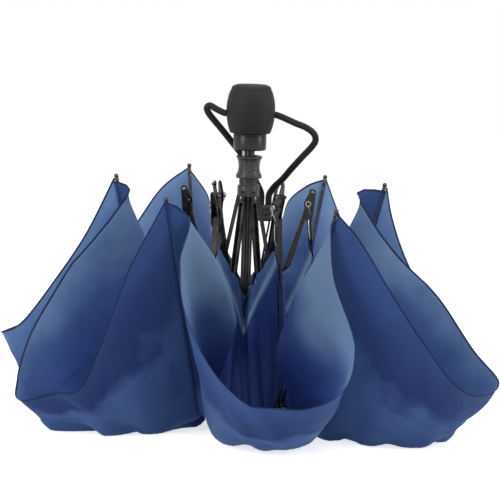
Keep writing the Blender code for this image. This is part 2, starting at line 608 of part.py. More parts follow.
def add_runner(spring):
    plastic = finish("grey_moulded_plastic", (0.05, 0.05, 0.055), 0.45)
    bore = OUTER_TUBE_RADIUS + RUNNER_BORE_CLEARANCE
    neck_top = RUNNER_TOP - RUNNER_FLANGE
    neck_low = neck_top - RUNNER_NECK
    flange_low = neck_low - RUNNER_LOWER_FLANGE
    skirt_low = flange_low - RUNNER_SKIRT
    bottom = RUNNER_PIVOT_HEIGHT - RUNNER_NOTCH_BELOW
    profile = [
        (RUNNER_COUNTERBORE_RADIUS, RUNNER_TOP), (RUNNER_FLANGE_RADIUS - RUNNER_EDGE, RUNNER_TOP),
        (RUNNER_FLANGE_RADIUS, RUNNER_TOP - RUNNER_EDGE), (RUNNER_FLANGE_RADIUS, neck_top),
        (RUNNER_NECK_RADIUS, neck_top - RUNNER_FLANGE), (RUNNER_NECK_RADIUS, neck_low + RUNNER_FLANGE),
        (RUNNER_FLANGE_RADIUS, neck_low), (RUNNER_FLANGE_RADIUS, flange_low + RUNNER_EDGE),
        (RUNNER_FLANGE_RADIUS - RUNNER_EDGE, flange_low), (RUNNER_SKIRT_RADIUS, flange_low),
        (RUNNER_SKIRT_RADIUS, skirt_low), (RUNNER_NOTCH_RADIUS, skirt_low - RUNNER_EDGE),
        (RUNNER_NOTCH_RADIUS, bottom), (bore, bottom), (bore, RUNNER_TOP - RUNNER_COUNTERBORE_DEPTH),
        (RUNNER_COUNTERBORE_RADIUS, RUNNER_TOP - RUNNER_COUNTERBORE_DEPTH)]
    runner = turned("runner", profile, plastic, closed=True)
    cut_notch(runner, RUNNER_PIVOT, TONGUE_HALF_WIDTH, bottom, -1)
    half = CATCH_WIDTH / 2 + CATCH_SLOT_CLEARANCE
    catch_room = OUTER_TUBE_RADIUS + OPENING_CATCH_RISE + 2 * CATCH_THICKNESS + CATCH_SLOT_CLEARANCE
    cut(runner, block("catch_way", (-half, 0, bottom - RUNNER_EDGE),
                      (half, catch_room, RUNNER_TOP + RUNNER_EDGE)))
    add_wire_ring("runner_wire_ring", RUNNER_PIVOT, spring)


# Catches: a tongue behind the open runner, and a hook at the handle

def add_catches(spring):
    half = CATCH_WIDTH / 2
    low = RUNNER_TOP - RUNNER_TRAVEL + OPENING_CATCH_GAP
    near = OUTER_TUBE_RADIUS + SLOT_CLEARANCE
    mesh = bpy.data.meshes.new("opening_catch")
    shape = bmesh.new()
    bmesh.ops.create_cube(shape, size=1.0)
    bmesh.ops.scale(shape, vec=(CATCH_WIDTH, CATCH_THICKNESS, OPENING_CATCH_LENGTH), verts=shape.verts)
    bmesh.ops.translate(shape, vec=(0, near + CATCH_THICKNESS / 2, low + OPENING_CATCH_LENGTH / 2),
                        verts=shape.verts)
    for corner in shape.verts:
        if corner.co.z < low + OPENING_CATCH_LENGTH / 2:
            corner.co.y += OPENING_CATCH_RISE
    shape.to_mesh(mesh)
    shape.free()
    add_object("opening_catch", mesh, spring)
    hook = block("closing_catch", (CLOSING_CATCH_RADIUS, -half, CLOSING_CATCH_BOTTOM),
                 (CLOSING_CATCH_RADIUS + CATCH_THICKNESS, half, CLOSING_CATCH_TOP), spring)
    toe = block("hook_toe", (CLOSING_CATCH_RADIUS + JOIN_OVERLAP, -half + JOIN_OVERLAP,
                             CLOSING_CATCH_BOTTOM - CATCH_THICKNESS),
                (CLOSING_CATCH_RADIUS + CLOSING_CATCH_TOE, half - JOIN_OVERLAP,
                 CLOSING_CATCH_BOTTOM + CATCH_THICKNESS))
    cut(hook, toe, "UNION")
    hook.rotation_euler = (0, 0, CLOSING_CATCH_TURN)
    toe.rotation_euler = (0, 0, CLOSING_CATCH_TURN)


# Handle: collar and core, cross pin and rubber grip

def add_handle(plastic, spring):
    rubber = finish("black_soft_rubber", (0.022, 0.022, 0.023), 0.75)
    step = COLLAR_BOTTOM + COLLAR_HEIGHT
    wide_bore = OUTER_TUBE_RADIUS + COLLAR_BORE_CLEARANCE
    bore_end = COLLAR_BOTTOM + COLLAR_BORE_DEPTH
    tube_radius = OUTER_TUBE_RADIUS - 2 * (TUBE_WALL + TUBE_CLEARANCE)
    bore = tube_radius + SLOT_CLEARANCE
    blind = INNER_TUBE_TOP + SLOT_CLEARANCE
    collar = turned("handle_collar", [
        (0, CORE_TOP), (CORE_RADIUS - CAP_EDGE, CORE_TOP), (CORE_RADIUS, CORE_TOP - CAP_EDGE),
        (CORE_RADIUS, step), (COLLAR_RADIUS, step), (COLLAR_RADIUS, COLLAR_BOTTOM + CAP_EDGE),
        (COLLAR_RADIUS - CAP_EDGE, COLLAR_BOTTOM), (wide_bore, COLLAR_BOTTOM), (wide_bore, bore_end),
        (bore, bore_end), (bore, blind), (0, blind)], plastic)
    across = 2 * CORE_RADIUS
    cut(collar, rod("pin_hole", (0, -across, PIN_HEIGHT), (0, across, PIN_HEIGHT),
                    PIN_RADIUS + PIN_CLEARANCE))
    half = CATCH_WIDTH / 2 + CATCH_SLOT_CLEARANCE
    pocket = block("hook_pocket", (0, -half, COLLAR_BOTTOM - CATCH_THICKNESS),
                   (CLOSING_CATCH_RADIUS + CLOSING_CATCH_TOE + CATCH_SLOT_CLEARANCE, half,
                    CLOSING_CATCH_TOP + CATCH_SLOT_CLEARANCE))
    pocket.rotation_euler = (0, 0, CLOSING_CATCH_TURN)
    cut(collar, pocket)
    reach = CORE_RADIUS - PIN_CLEARANCE
    rod("handle_pin", (0, -reach, PIN_HEIGHT), (0, reach, PIN_HEIGHT), PIN_RADIUS, spring)
    add_grip(rubber, step)


def add_grip(rubber, step):
    foot = step + SLOT_CLEARANCE
    room = CORE_RADIUS + SLOT_CLEARANCE
    ceiling = CORE_TOP + SLOT_CLEARANCE
    shoulder = GRIP_TOP - GRIP_DOME - GRIP_ROUND
    profile = [(0, GRIP_TOP), (GRIP_TOP_RADIUS / 2, GRIP_TOP - GRIP_DOME / 4)]
    for stop in range(DOME_STEPS + 1):
        turn = math.pi / 2 * stop / DOME_STEPS
        profile.append((GRIP_TOP_RADIUS - GRIP_ROUND + GRIP_ROUND * math.sin(turn),
                        shoulder + GRIP_ROUND * math.cos(turn)))
    for stop in range(1, GRIP_WALL_STEPS + 1):
        share = stop / GRIP_WALL_STEPS
        edge = GRIP_TOP_RADIUS + (GRIP_FOOT_RADIUS - GRIP_TOP_RADIUS) * share
        swell = (GRIP_BELLY_RADIUS - (GRIP_TOP_RADIUS + GRIP_FOOT_RADIUS) / 2) * math.sin(math.pi * share)
        profile.append((edge + swell, shoulder + (foot + CAP_EDGE - shoulder) * share))
    profile += [(GRIP_FOOT_RADIUS - CAP_EDGE, foot), (room, foot), (room, ceiling), (0, ceiling)]
    grip = turned("handle_grip", profile, rubber)
    hole = CORD_DIAMETER / 2 + CORD_HOLE_CLEARANCE
    for side in (-1, 1):
        start = (side * (GRIP_BELLY_RADIUS - CORD_HOLE_DEPTH), 0, CORD_HOLE_HEIGHT)
        cut(grip, rod("cord_hole", start, (side * 2 * GRIP_BELLY_RADIUS, 0, CORD_HOLE_HEIGHT), hole,
                      sides=SIDES_HOLE))
    smooth(grip)


# Wrist cord and its crimped ferrule

def curve_point(a, b, c, d, t):
    """The place t of the way from b to c on a smooth curve through a, b, c and d."""
    return 0.5 * (2 * b + (c - a) * t + (2 * a - 5 * b + 4 * c - d) * t ** 2
                  + (3 * b - a - 3 * c + d) * t ** 3)


def from_hole(point):
    return Vector((point[0], point[1], CORD_HOLE_HEIGHT + point[2]))


def smooth_route(route, step):
    """Points at an even step along a smooth curve through the route's own points."""
    route = [from_hole(point) for point in route]
    ends = [2 * route[0] - route[1]] + route + [2 * route[-1] - route[-2]]
    fine = []
    for a, b, c, d in zip(ends, ends[1:], ends[2:], ends[3:]):
        for piece in range(CORD_FINE_PIECES):
            fine.append(curve_point(a, b, c, d, piece / CORD_FINE_PIECES))
    fine.append(route[-1])
    total = sum((q - p).length for p, q in zip(fine, fine[1:]))
    count = max(2, round(total / step))
    wanted = [total * i / count for i in range(count + 1)]
    out, gone, index = [], 0.0, 0
    for target in wanted[:-1]:
        while gone + (fine[index + 1] - fine[index]).length < target:
            gone += (fine[index + 1] - fine[index]).length
            index += 1
        span = (fine[index + 1] - fine[index]).length
        out.append(fine[index].lerp(fine[index + 1], (target - gone) / span))
    return out + [fine[-1]]


def add_cord(name, route, material):
    curve = bpy.data.curves.new(name, "CURVE")
    curve.dimensions = "3D"
    curve.bevel_depth = CORD_DIAMETER / 2
    curve.bevel_resolution = 2
    curve.use_fill_caps = True
    points = smooth_route(route, CORD_STEP)
    spline = curve.splines.new("POLY")
    spline.points.add(len(points) - 1)
    for point, place in zip(spline.points, points):
        point.co = (*place, 1)
    curve.materials.append(material)
    made = bpy.data.objects.new(name, curve)
    parts.objects.link(made)


def add_wrist_cord():
    braid = finish("black_braided_cord", (0.015, 0.015, 0.016), 0.8)
    add_cord("cord_left", CORD_LEFT_ROUTE, braid)
    add_cord("cord_right", CORD_RIGHT_ROUTE, braid)
    left, right = from_hole(CORD_LEFT_ROUTE[-1]), from_hole(CORD_RIGHT_ROUTE[-1])
    middle = (left + right) / 2
    top = middle.z - SLOT_CLEARANCE
    ferrule = block("cord_ferrule",
                    (middle.x - FERRULE_WIDTH / 2, middle.y - FERRULE_DEPTH / 2, top - FERRULE_LENGTH),
                    (middle.x + FERRULE_WIDTH / 2, middle.y + FERRULE_DEPTH / 2, top),
                    finish("dark_grey_ferrule", (0.06, 0.06, 0.065), 0.4))
    edge = ferrule.modifiers.new("Edge", "BEVEL")
    edge.width = FERRULE_EDGE
    edge.segments = 2


# Canopy: six gores, each folded down, up and over into a petal with its mouth up

def rib_line_rows(number):
    """The cloth's path in the plane of rib `number`, as (radius, height) from the crown to the hem."""
    up_out = (math.cos(MAIN_HEADING), -math.sin(MAIN_HEADING))
    hub = CAP_HEIGHT + WASHER_THICKNESS + 2 * SLOT_CLEARANCE + CLOTH_THICKNESS / 2
    rows = [(HUB_CLOTH_RADIUS, hub), (HUB_CLOTH_EDGE, hub)]
    crest_share = (CREST_HEIGHT - CREST_DROP - CROWN_PIVOT_HEIGHT) / (KNEE_HEIGHT - CROWN_PIVOT_HEIGHT)
    for share in FIRST_WALL_SHARES + (1,):
        place = along(CROWN_PIVOT, MAIN_HEADING, share * crest_share * MAIN_LENGTH)
        rows.append((place[0] + CLOTH_STANDOFF * up_out[0], place[1] + CLOTH_STANDOFF * up_out[1]))
    inner_foot = (ELBOW_RADIUS - CLOTH_STANDOFF - RIB_WALL, ELBOW_HEIGHT)
    crest_out = along(KNEE, MIDDLE_HEADING, MIDDLE_LENGTH * (1 - (CREST_HEIGHT - CREST_DROP - ELBOW_HEIGHT)
                                                             / (KNEE_HEIGHT - ELBOW_HEIGHT)))
    crest_out = (crest_out[0] - CLOTH_STANDOFF, crest_out[1])
    rows.append(((rows[-1][0] + crest_out[0]) / 2, CREST_HEIGHT))
    rows.append(crest_out)
    for share in INNER_WALL_SHARES:
        rows.append((crest_out[0] + (inner_foot[0] - crest_out[0]) * share,
                     crest_out[1] + (inner_foot[1] - crest_out[1]) * share))
    rows.append(inner_foot)
    rows.append((ELBOW_RADIUS + CLOTH_THICKNESS, ELBOW_HEIGHT - ELBOW_TUCK))
    rows.append((ELBOW_RADIUS + 2 * CLOTH_STANDOFF, ELBOW_HEIGHT - ELBOW_TUCK / 2))
    foot = rows[-1]
    tip = tip_of(number)
    hem = (tip[0] + HEM_STANDOFF, tip[1] - HEM_DROP)
    for share in OUTER_WALL_SHARES + (1,):
        rows.append((foot[0] + (hem[0] - foot[0]) * share, foot[1] + (hem[1] - foot[1]) * share))
    return rows


def middle_line_rows():
    """The cloth's path half-way between two ribs, as far as the floor; the rest follows the hem."""
    hub = CAP_HEIGHT + WASHER_THICKNESS + 2 * SLOT_CLEARANCE + CLOTH_THICKNESS / 2
    rows = [(HUB_CLOTH_RADIUS, hub), (HUB_CLOTH_EDGE, hub)]
    crest_in = (SAG_RADIUS - CREST_HALF_WIDTH, SAG_HEIGHT - CREST_DROP)
    start = (HUB_CLOTH_EDGE + CLOTH_STANDOFF, hub + 2 * CLOTH_STANDOFF)
    for share in FIRST_WALL_SHARES + (1,):
        rows.append((start[0] + (crest_in[0] - start[0]) * share,
                     start[1] + (crest_in[1] - start[1]) * share))
    crest_out = (SAG_RADIUS + CREST_HALF_WIDTH, SAG_HEIGHT - CREST_DROP)
    rows += [(SAG_RADIUS, SAG_HEIGHT), crest_out]
    foot = (FLOOR_INNER_RADIUS, 2 * CLOTH_FLOOR)
    for share in INNER_WALL_SHARES:
        rows.append((crest_out[0] + (foot[0] - crest_out[0]) * share ** INNER_WALL_BOW,
                     crest_out[1] + (foot[1] - crest_out[1]) * share))
    rows.append(foot)
    return rows


def between(values, place):
    """Smooth reading of an even list of tuples at place, from 0 to 1."""
    last = len(values) - 1
    index = min(int(place * last), last - 1)
    t = place * last - index
    around = [values[min(max(index + k, 0), last)] for k in (-1, 0, 1, 2)]
    out = []
    for a, b, c, d in zip(*around):
        low, high = min(b, c), max(b, c)
        swing = (high - low) / 4
        out.append(min(max(curve_point(a, b, c, d, t), low - swing), high + swing))
    return out


def panel_column(number, across):
    """One column of a panel's cloth, as (turn share, radius, height) from the crown to the hem."""
    even = 2 * across - 1
    first_rows, last_rows = rib_line_rows(number), rib_line_rows(number % RIB_COUNT + 1)
    rib_rows = first_rows if even < 0 else last_rows
    mid_rows = middle_line_rows()
    turn, reach, rise = between([(-1, 0, 1), *HEM_SHARES[number], (1, 0, 1)], across)
    turn = min(max(turn, -1), 1)
    near = [first + (last - first) * (turn + 1) / 2 for first, last in zip(first_rows[-1], last_rows[-1])]
    hem = (near[0] + (PETAL_REACH - near[0]) * reach, near[1] * rise)
    sag = 1 - abs(even)
    column = []
    for index, middle in enumerate(mid_rows):
        drift = max(0, index - CREST_ROW - 1) / (len(mid_rows) - CREST_ROW)
        share = sag if index < INNER_FOOT_ROW else math.sin(sag * math.pi / 2)
        radius = rib_rows[index][0] + (middle[0] - rib_rows[index][0]) * share
        height = rib_rows[index][1] + (middle[1] - rib_rows[index][1]) * share
        column.append((even + (turn - even) * drift, radius, height))
    swell = max(0, hem[0] - near[0])
    settle = min(1, max(swell / SETTLED_SWELL, 2 * sag) if 0 < across < 1 else 0)
    elbow, foot = rib_rows[ELBOW_ROW], rib_rows[FOOT_ROW]
    floor_out = (foot[0] + swell * FLOOR_SPREAD_SHARE, foot[1] + (CLOTH_FLOOR - foot[1]) * settle)
    floor_mid = ((column[-1][1] + floor_out[0]) / 2, elbow[1] + (CLOTH_FLOOR - elbow[1]) * settle)
    floor_turn = turn * (FLOOR_TURN_SHARE + (1 - FLOOR_TURN_SHARE) * abs(turn) ** FLOOR_TURN_POWER)
    column += [(floor_turn, *floor_mid), (floor_turn, *floor_out)]
    full = min(1, swell / FULL_SWELL)
    for share in OUTER_WALL_SHARES + (1,):
        out = share ** (1 - OUTER_WALL_BELLY * full)
        up = share ** (1 + OUTER_WALL_RISE * full)
        column.append((floor_turn + (turn - floor_turn) * out, floor_out[0] + (hem[0] - floor_out[0]) * out,
                       floor_out[1] + (hem[1] - floor_out[1]) * up))
    return column


def add_canopy():
    cloth = finish("navy_pongee_cloth", (0.045, 0.095, 0.26), 0.6)
    half_wedge = TURN_STEP / 2
    for number in range(1, RIB_COUNT + 1):
        centre_turn = (number - 0.5) * TURN_STEP
        rows = len(panel_column(number, 0))
        points = []
        for column_index in range(CLOTH_COLUMNS + 1):
            across = column_index / CLOTH_COLUMNS
            for turn_share, radius, height in panel_column(number, across):
                turn = turn_share * half_wedge
                inward = radius * math.cos(turn)
                aside = radius * math.sin(turn) - SEAM_GAP * (2 * across - 1) / math.cos(half_wedge)
                points.append((inward * math.cos(centre_turn) - aside * math.sin(centre_turn),
                               inward * math.sin(centre_turn) + aside * math.cos(centre_turn), height))
        faces = []
        for column_index in range(CLOTH_COLUMNS):
            for row in range(rows - 1):
                first = column_index * rows + row
                faces.append((first, first + 1, first + rows + 1, first + rows))
        mesh = bpy.data.meshes.new(f"canopy_panel_{number}")
        mesh.from_pydata(points, [], faces)
        panel = add_object(f"canopy_panel_{number}", mesh, cloth)
        wall = panel.modifiers.new("Cloth", "SOLIDIFY")
        wall.thickness = CLOTH_THICKNESS
        wall.offset = 0
        wall.use_even_offset = False


clear_scene()
parts = new_collection("folding_umbrella")
cutters = new_collection("cutters")
bright_spring = finish("spring_steel", (0.6, 0.6, 0.6), 0.25, 1.0)
moulded = finish("black_moulded_plastic", (0.02, 0.02, 0.022), 0.4)
add_crown(moulded, bright_spring)
add_shaft()
add_runner(bright_spring)
add_catches(bright_spring)
add_handle(moulded, bright_spring)
add_ribs()
add_wrist_cord()
add_canopy()
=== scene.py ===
"""Folding umbrella, collapsed but not wrapped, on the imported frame: handle up, crown on the floor."""
import math

import bmesh
import bpy
import numpy as np
from mathutils import Matrix, Vector, noise


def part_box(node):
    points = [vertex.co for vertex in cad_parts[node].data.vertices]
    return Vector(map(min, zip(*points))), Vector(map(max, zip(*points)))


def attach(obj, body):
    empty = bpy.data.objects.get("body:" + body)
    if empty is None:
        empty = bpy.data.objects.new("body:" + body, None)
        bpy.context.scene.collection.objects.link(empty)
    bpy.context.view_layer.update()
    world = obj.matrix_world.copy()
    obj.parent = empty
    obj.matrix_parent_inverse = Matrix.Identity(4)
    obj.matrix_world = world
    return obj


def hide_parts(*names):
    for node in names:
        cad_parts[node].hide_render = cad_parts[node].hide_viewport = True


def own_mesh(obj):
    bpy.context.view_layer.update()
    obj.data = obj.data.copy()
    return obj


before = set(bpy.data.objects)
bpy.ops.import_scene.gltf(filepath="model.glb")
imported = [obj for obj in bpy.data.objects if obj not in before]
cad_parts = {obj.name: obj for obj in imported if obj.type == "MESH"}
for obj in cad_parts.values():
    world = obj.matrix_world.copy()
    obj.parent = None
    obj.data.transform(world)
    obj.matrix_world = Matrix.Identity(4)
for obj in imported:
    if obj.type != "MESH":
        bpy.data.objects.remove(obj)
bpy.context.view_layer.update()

# Camera
# A long lens a little above the floor, as in a catalogue picture. The umbrella leans slightly in
# the picture, and the camera is rolled by that much.
FRAME_WIDTH = 0.425
SENSOR_WIDTH = 0.036
MILLIMETRES = 1000
NEAREST_SEEN = 0.05
CAMERA_DISTANCE = 2.2
CAMERA_RISE = math.radians(7.5)
CAMERA_ROLL = math.radians(1.8)
LOOK_AT = Vector((0.0030, 0.0, 0.1445))


def stand(name, data):
    """A new object in the scene, with the same name as its data."""
    data.name = name
    made = bpy.data.objects.new(name, data)
    bpy.context.scene.collection.objects.link(made)
    return made


lens = bpy.data.cameras.new("lens")
lens.sensor_width = SENSOR_WIDTH * MILLIMETRES
lens.lens = SENSOR_WIDTH * CAMERA_DISTANCE / FRAME_WIDTH * MILLIMETRES
lens.clip_start = NEAREST_SEEN
camera = stand("catalogue_camera", lens)
toward = Vector((0, -math.cos(CAMERA_RISE), math.sin(CAMERA_RISE)))
camera.location = LOOK_AT + CAMERA_DISTANCE * toward
aim = Matrix.Rotation(math.pi / 2 - CAMERA_RISE, 4, "X") @ Matrix.Rotation(CAMERA_ROLL, 4, "Z")
camera.rotation_euler = aim.to_euler()
bpy.context.scene.camera = camera


# Studio
# A seamless paper sweep: white, evenly lit, with the object's soft shadow on it. Three soft boxes
# and the pale room light the cloth from above and from both sides.
SWEEP_REACH = 3.0
SWEEP_COLOUR = "#f4f4f4"
SWEEP_GLOW = 0.70
WHITE = "#ffffff"
ROOM_STRENGTH = 0.32
LIT_PLACE = Vector((0, 0, 0.12))
SOFT_BOXES = (("top_box", (0.10, -0.30, 1.30), 0.70, 0.70, 10.0),
              ("left_strip", (-1.15, -0.90, 0.75), 0.22, 1.30, 12.5),
              ("right_strip", (1.35, -0.35, 0.70), 0.16, 1.20, 9.0))


def linear(code, factor=1.0):
    """An sRGB hex code as a linear colour with alpha, made darker or paler by a factor."""
    values = [int(code[i:i + 2], 16) / 255 for i in (1, 3, 5)]
    return (*(factor * (v / 12.92 if v <= 0.04045 else ((v + 0.055) / 1.055) ** 2.4) for v in values), 1.0)


def add_node(tree, kind, inputs=None, **settings):
    """One node, with its settings, and with values, other nodes or their outputs on its sockets."""
    node = tree.nodes.new(kind)
    for name, value in settings.items():
        setattr(node, name, value)
    for socket, value in (inputs or {}).items():
        if isinstance(value, bpy.types.Node):
            value = value.outputs[0]
        if isinstance(value, bpy.types.NodeSocket):
            tree.links.new(value, node.inputs[socket])
        else:
            node.inputs[socket].default_value = value
    return node


def calculated(tree, operation, *values):
    """A sum, product or other operation on one or two values."""
    return add_node(tree, "ShaderNodeMath", dict(enumerate(values)), operation=operation)


def seen_directly(tree):
    """1 where the camera, a mirror or glass shows the backdrop, and 0 where it only lights the object."""
    ray = add_node(tree, "ShaderNodeLightPath").outputs
    mirror = calculated(tree, "MAXIMUM", ray["Is Camera Ray"], ray["Is Glossy Ray"])
    return calculated(tree, "MAXIMUM", mirror, ray["Is Transmission Ray"])


def empty_tree(owner):
    """The node tree of a material or world, with nothing in it."""
    owner.use_nodes = True
    owner.node_tree.nodes.clear()
    return owner.node_tree


def finished(shape):
    """The plain mesh of a shape under construction, which is then freed."""
    mesh = bpy.data.meshes.new("shape")
    shape.to_mesh(mesh)
    shape.free()
    return mesh


# Coated paper: white to the camera, with the shadow kept.
sweep_paper = bpy.data.materials.new("white_paper_sweep")
sweep = empty_tree(sweep_paper)
paper = add_node(sweep, "ShaderNodeBsdfDiffuse", {"Color": linear(SWEEP_COLOUR)})
glow = add_node(sweep, "ShaderNodeEmission", {"Color": linear(WHITE), "Strength": SWEEP_GLOW})
both = add_node(sweep, "ShaderNodeAddShader", {0: paper, 1: glow})
seen = add_node(sweep, "ShaderNodeMixShader", {0: seen_directly(sweep), 1: paper, 2: both})
add_node(sweep, "ShaderNodeOutputMaterial", {0: seen})
shape = bmesh.new()
bmesh.ops.create_grid(shape, x_segments=1, y_segments=1, size=SWEEP_REACH)
floor = stand("paper_sweep", finished(shape))
floor.data.materials.append(sweep_paper)

world = bpy.data.worlds.new("white_room")
room = empty_tree(world)
dim = add_node(room, "ShaderNodeBackground", {"Color": linear(WHITE), "Strength": ROOM_STRENGTH})
white = add_node(room, "ShaderNodeBackground", {"Color": linear(WHITE), "Strength": 1.0})
mixed = add_node(room, "ShaderNodeMixShader", {0: seen_directly(room), 1: dim, 2: white})
add_node(room, "ShaderNodeOutputWorld", {0: mixed})
bpy.context.scene.world = world

for name, place, width, length, power in SOFT_BOXES:
    lamp = bpy.data.lights.new(name, "AREA")
    lamp.shape = "RECTANGLE"
    lamp.size = width
    lamp.size_y = length
    lamp.energy = power
    box = stand(name, lamp)
    box.location = place
    box.rotation_euler = (LIT_PLACE - Vector(place)).to_track_quat("-Z", "Y").to_euler()
bpy.context.scene.view_settings.view_transform = "Standard"


# Wrist cord
# Two legs of one round braided polyester cord, held in the grip's side holes. They rise or droop
# outwards, the left one passes behind the runner, and both end in one crimped ferrule.
CORD_DIAMETER = 0.0056
CORD_EXIT_X = 0.0206
CORD_EXIT_Z = 0.2603
CORD_SIDES = 32
CORD_STEP = 0.0010
ROOT_CLEARANCE = 0.00005
BRAID_STRANDS = 8
BRAID_PITCH = 0.0052
FERRULE_SIDES = 40
FERRULE_SHARPNESS = 50
FERRULE_SQUARENESS = 3
FERRULE_ROWS = ((0.80, 0.0), (0.93, 0.03), (1.0, 0.10), (1.0, 0.30), (0.94, 0.34), (0.94, 0.38), (1.0, 0.42),
                (1.0, 0.58), (0.94, 0.62), (0.94, 0.66), (1.0, 0.70), (1.0, 0.90), (0.93, 0.97), (0.80, 1.0))
CORD_LEFT_ROUTE = (
    (-0.0145, 0.0000, 0.2603), (-0.0180, 0.0000, 0.2603), (-0.0220, 0.0001, 0.2605),
    (-0.0285, 0.0008, 0.2632), (-0.0345, 0.0020, 0.2662), (-0.0372, 0.0034, 0.2640),
    (-0.0352, 0.0048, 0.2590), (-0.0295, 0.0072, 0.2520), (-0.0215, 0.0112, 0.2425),
    (-0.0135, 0.0160, 0.2325), (-0.0060, 0.0200, 0.2230), (0.0010, 0.0240, 0.2120),
    (0.0065, 0.0278, 0.2000), (0.0109, 0.0318, 0.1900), (0.0112, 0.0320, 0.1803))
CORD_RIGHT_ROUTE = (
    (0.0145, 0.0000, 0.2603), (0.0180, 0.0000, 0.2603), (0.0220, 0.0001, 0.2600),
    (0.0295, 0.0010, 0.2572), (0.0380, 0.0022, 0.2535), (0.0470, 0.0036, 0.2500),
    (0.0538, 0.0052, 0.2450), (0.0556, 0.0072, 0.2390), (0.0525, 0.0100, 0.2330),
    (0.0450, 0.0140, 0.2240), (0.0365, 0.0190, 0.2135), (0.0290, 0.0240, 0.2035),
    (0.0225, 0.0285, 0.1965), (0.0180, 0.0317, 0.1890), (0.0176, 0.0320, 0.1803))


def new_finish(name, colour, roughness, metallic=0.0, **sockets):
    """A Principled material with its uniform values on the shader's own sockets."""
    material = bpy.data.materials.new(name)
    material.use_nodes = True
    shader = material.node_tree.nodes["Principled BSDF"]
    shader.inputs["Base Color"].default_value = linear(colour)
    shader.inputs["Roughness"].default_value = roughness
    shader.inputs["Metallic"].default_value = metallic
    for socket, value in sockets.items():
        shader.inputs[socket.replace("_", " ")].default_value = value
    return material, material.node_tree, shader


def feed(shader, **sources):
    """Link nodes to a shader's sockets."""
    for socket, source in sources.items():
        shader.id_data.links.new(source.outputs[0], shader.inputs[socket.replace("_", " ")])


def object_place(tree):
    """The surface's place in the object's own coordinates."""
    return add_node(tree, "ShaderNodeTexCoord").outputs["Object"]


def grain(tree, place, scale, detail, roughness=0.5):
    """Noise over a place, from 0 to 1."""
    return add_node(tree, "ShaderNodeTexNoise", {"Vector": place, "Scale": scale, "Detail": detail,
                                                 "Roughness": roughness})


def spread(tree, value, low, high, start=0.0, end=1.0):
    """A value's range from start to end, stretched to the range from low to high."""
    return add_node(tree, "ShaderNodeMapRange", {"Value": value, "From Min": start, "From Max": end,
                                                 "To Min": low, "To Max": high})


def toned(tree, value, *stops):
    """A colour that follows a value, from stops of (place, colour)."""
    ramp = add_node(tree, "ShaderNodeValToRGB", {0: value})
    elements = ramp.color_ramp.elements
    while len(elements) < len(stops):
        elements.new(1.0)
    for element, (place, colour) in zip(elements, stops):
        element.position = place
        element.color = colour
    return ramp


def bumped(tree, height, strength, distance, **inputs):
    """Relief from a height between 0 and 1."""
    return add_node(tree, "ShaderNodeBump", {"Height": height, "Strength": strength, "Distance": distance,
                                             **inputs})


def curve_point(a, b, c, d, t):
    """The place t of the way from b to c on a smooth curve through a, b, c and d."""
    return 0.5 * (2 * b + (c - a) * t + (2 * a - 5 * b + 4 * c - d) * t ** 2
                  + (3 * b - a - 3 * c + d) * t ** 3)


def even_route(route, step):
    """Points about a step apart on the smooth curve through a route's own points."""
    route = [Vector(point) for point in route]
    ends = [2 * route[0] - route[1]] + route + [2 * route[-1] - route[-2]]
    points = []
    for a, b, c, d in zip(ends, ends[1:], ends[2:], ends[3:]):
        pieces = max(1, round((c - b).length / step))
        points += [curve_point(a, b, c, d, piece / pieces) for piece in range(pieces)]
    return points + [route[-1]]


def settle(piece, body, replaced=None):
    """Put a piece on a body, in a CAD node's place if it has one."""
    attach(piece, body)
    if replaced:
        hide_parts(replaced)
    return piece


def add_piece(name, mesh, material, body, replaced=None):
    """A mesh in its finish as a settled piece."""
    mesh.materials.append(material)
    return settle(stand(name, mesh), body, replaced)


def smooth(mesh, sharpness):
    """A mesh shaded smooth, apart from edges that turn by more than some degrees."""
    mesh.shade_smooth()
    mesh.set_sharp_from_angle(angle=math.radians(sharpness))
    return mesh


def turns(count, start=0.0):
    """Angles at an even step round a circle."""
    return [2 * math.pi * (k + start) / count for k in range(count)]


def skin(shape, rings):
    """Smooth faces up a stack of equal rings of points, returned in order, and one over each end."""
    faces = []
    for under, over in zip(rings, rings[1:]):
        for k in range(len(under)):
            after = (k + 1) % len(under)
            faces.append(shape.faces.new((under[k], under[after], over[after], over[k])))
            faces[-1].smooth = True
    shape.faces.new(list(reversed(rings[0])))
    shape.faces.new(rings[-1])
    return faces


def tube_mesh(points, radius, sides, across=None, flat=1.0):
    """A closed round tube along points, or a tape that lies across, flattened; UV in metres along it."""
    shape = bmesh.new()
    uv = shape.loops.layers.uv.new("UVMap")
    side = Vector((0, 0, 1)).cross(points[1] - points[0])
    if side.length < 1e-6:
        side = Vector((1, 0, 0))
    side.normalize()
    rings = []
    gone = [0.0]
    for index, point in enumerate(points):
        ahead = points[min(index + 1, len(points) - 1)] - points[max(index - 1, 0)]
        ahead.normalize()
        if across is not None:
            side = across[index]
        side = (side - side.dot(ahead) * ahead).normalized()
        up = flat * ahead.cross(side)
        if index:
            gone.append(gone[-1] + (point - points[index - 1]).length)
        rings.append([shape.verts.new(point + radius * (math.cos(turn) * side + math.sin(turn) * up))
                      for turn in turns(sides)])
    for count, face in enumerate(skin(shape, rings)):
        row, k = divmod(count, sides)
        for loop, (turn, place) in zip(face.loops, ((k, row), (k + 1, row), (k + 1, row + 1), (k, row + 1))):
            loop[uv].uv = (turn / sides, gone[place])
    return finished(shape)


